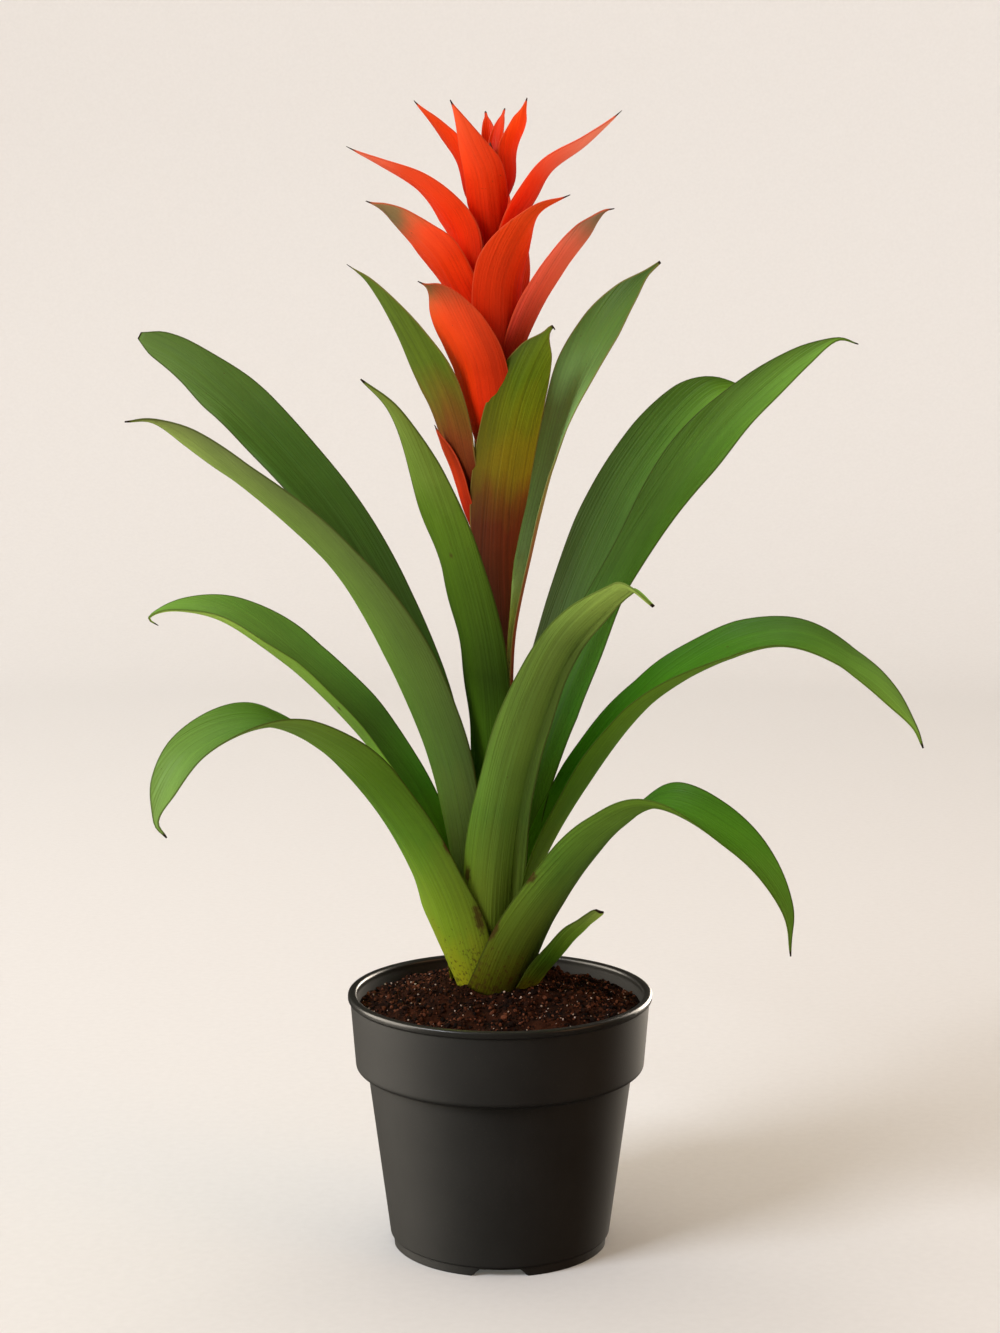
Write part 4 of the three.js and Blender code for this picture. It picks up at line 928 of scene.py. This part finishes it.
spindle_points, spindle_faces = turned(held(eased([
    (0, SCAPE_TOP_Z + FIT, 0),
    (SCAPE_RADIUS, SCAPE_TOP_Z + FIT, 0),
    (SCAPE_RADIUS + 0.4, 380, 20),
    (SCAPE_RADIUS, 430, 15),
    (2.4, HEAD_TOP_Z - 6, 3),
    (0, HEAD_TOP_Z, 0),
])), 32)
spindle_points[:, 0] += HEAD_TOP_X * (spindle_points[:, 2] - SCAPE_TOP_Z) / (HEAD_TOP_Z - SCAPE_TOP_Z)
spindle = make_piece("head_spindle", spindle_points, spindle_faces, stem_skin)
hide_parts("flower_head")

# Studio: a sheet of seamless paper under and behind the plant, a large soft light high on the left, a weak
# one above, a faint warm one on the right, and a dim room. A side light and a rim light reach the pot alone,
# and a wash of light the paper alone. The paper casts no shadow and isn't mirrored.
SWEEP_FLAT = 1.7
SWEEP_RADIUS = 2.4
SWEEP_TOP = 2.4
SWEEP_SIDES = 96
paper, tree, bsdf = new_skin("matt_backdrop_paper")
place = add_node(tree, "TexCoord").outputs["Object"]
fibre = add_node(tree, "TexNoise", {"Vector": place, "Scale": 1 / 0.004, "Detail": 3.0})
tint = add_node(tree, "ValToRGB", {"Fac": fibre}, [(0.3, "#e5e5e4"), (0.7, "#e8e8e7")])
set_inputs(tree, bsdf, {"Base Color": tint, "Roughness": 0.9, "Specular IOR Level": 0.1})
bend_radius = SWEEP_RADIUS - SWEEP_FLAT
sweep_profile = [(0, 0), (0.5, 0), (1.1, 0)]
for angle in np.linspace(0, math.pi / 2, 24):
    sweep_profile.append((SWEEP_FLAT + bend_radius * math.sin(angle), bend_radius * (1 - math.cos(angle))))
sweep_points, sweep_faces = turned([*sweep_profile, (SWEEP_RADIUS, SWEEP_TOP)], SWEEP_SIDES)
# The paper rises only behind: in front of the plant the rising part is left off.
sweep_faces = [face for face in sweep_faces
               if max(math.hypot(*sweep_points[k][:2]) for k in face) < SWEEP_FLAT + 0.01
               or min(sweep_points[k][1] for k in face) > -0.9]
sweep_mesh = bpy.data.meshes.new("paper_sweep")
sweep_mesh.from_pydata(sweep_points.tolist(), [], sweep_faces)
sweep_mesh.shade_smooth()
sweep_mesh.materials.append(paper)
sweep = bpy.data.objects.new("paper_sweep", sweep_mesh)
bpy.context.scene.collection.objects.link(sweep)
sweep.visible_shadow = False
sweep.visible_glossy = False
paper_only = bpy.data.collections.new("paper_only")
paper_only.objects.link(sweep)
pot_only = bpy.data.collections.new("pot_only")
pot_only.objects.link(pot)


def add_soft_light(name, place, aim, size, power, colour, receivers=None):
    """Adds a square soft light at a place in metres, turned to its aim."""
    lamp = bpy.data.lights.new(name, "AREA")
    lamp.size = size
    lamp.energy = power
    lamp.color = to_linear(colour)[:3]
    holder = bpy.data.objects.new(name, lamp)
    holder.location = place
    beam = mathutils.Vector(aim) - mathutils.Vector(place)
    holder.rotation_euler = beam.to_track_quat("-Z", "Y").to_euler()
    holder.visible_camera = False
    bpy.context.scene.collection.objects.link(holder)
    if receivers:
        holder.light_linking.receiver_collection = receivers
        holder.light_linking.blocker_collection = receivers


# The key is cool daylight white and the fill is warm, so that shadows go brown. The strengths began as a fit
# to patches of the photograph by another program and were then changed by hand.
add_soft_light("key_light", (-3.2, -2.4, 2.9), (0, 0, 0.2), 1.8, 163, "#f2f6ff")
add_soft_light("side_light", (-2.1, 0.1, 0.7), (0, 0, 0.06), 2.2, 142, "#fff4e4", pot_only)
add_soft_light("rim_light", (0.8, 1.0, 0.3), (0, 0, 0.06), 0.9, 42, "#fff2e0", pot_only)
add_soft_light("top_light", (-0.3, 0.3, 2.2), (0, 0, 0.2), 1.2, 11, "#fff8ee")
add_soft_light("fill_light", (2.2, -1.2, 1.1), (0, 0, 0.25), 1.4, 10, "#ffbc84")
add_soft_light("wash_light", (-2.7, -0.2, 2.8), (-0.8, 2.2, 1.3), 2.0, 30, "#fbfff9", paper_only)

world = bpy.data.worlds.new("studio_air")
world.use_nodes = True
world.node_tree.nodes["Background"].inputs["Color"].default_value = to_linear("#ffdcb2")
world.node_tree.nodes["Background"].inputs["Strength"].default_value = 0.35
# The room is too dim to be mirrored: it only lightens the shadows.
world.cycles_visibility.glossy = False
bpy.context.scene.world = world
bpy.context.scene.view_settings.view_transform = "Standard"

# Camera: one metre in front, tipped down a little, with a short telephoto view. It is fitted to the rim, the
# collar and the foot of the pot in the photograph.
CAMERA_PLACE = (0, -1.0, 0.384)
CAMERA_TIP = 7.65
LENS = 64.82
camera_data = bpy.data.cameras.new("camera")
camera_data.lens = LENS
camera_data.sensor_width = 36
camera = bpy.data.objects.new("camera", camera_data)
camera.location = CAMERA_PLACE
camera.rotation_euler = (math.radians(90 - CAMERA_TIP), 0, 0)
bpy.context.scene.collection.objects.link(camera)
bpy.context.scene.camera = camera
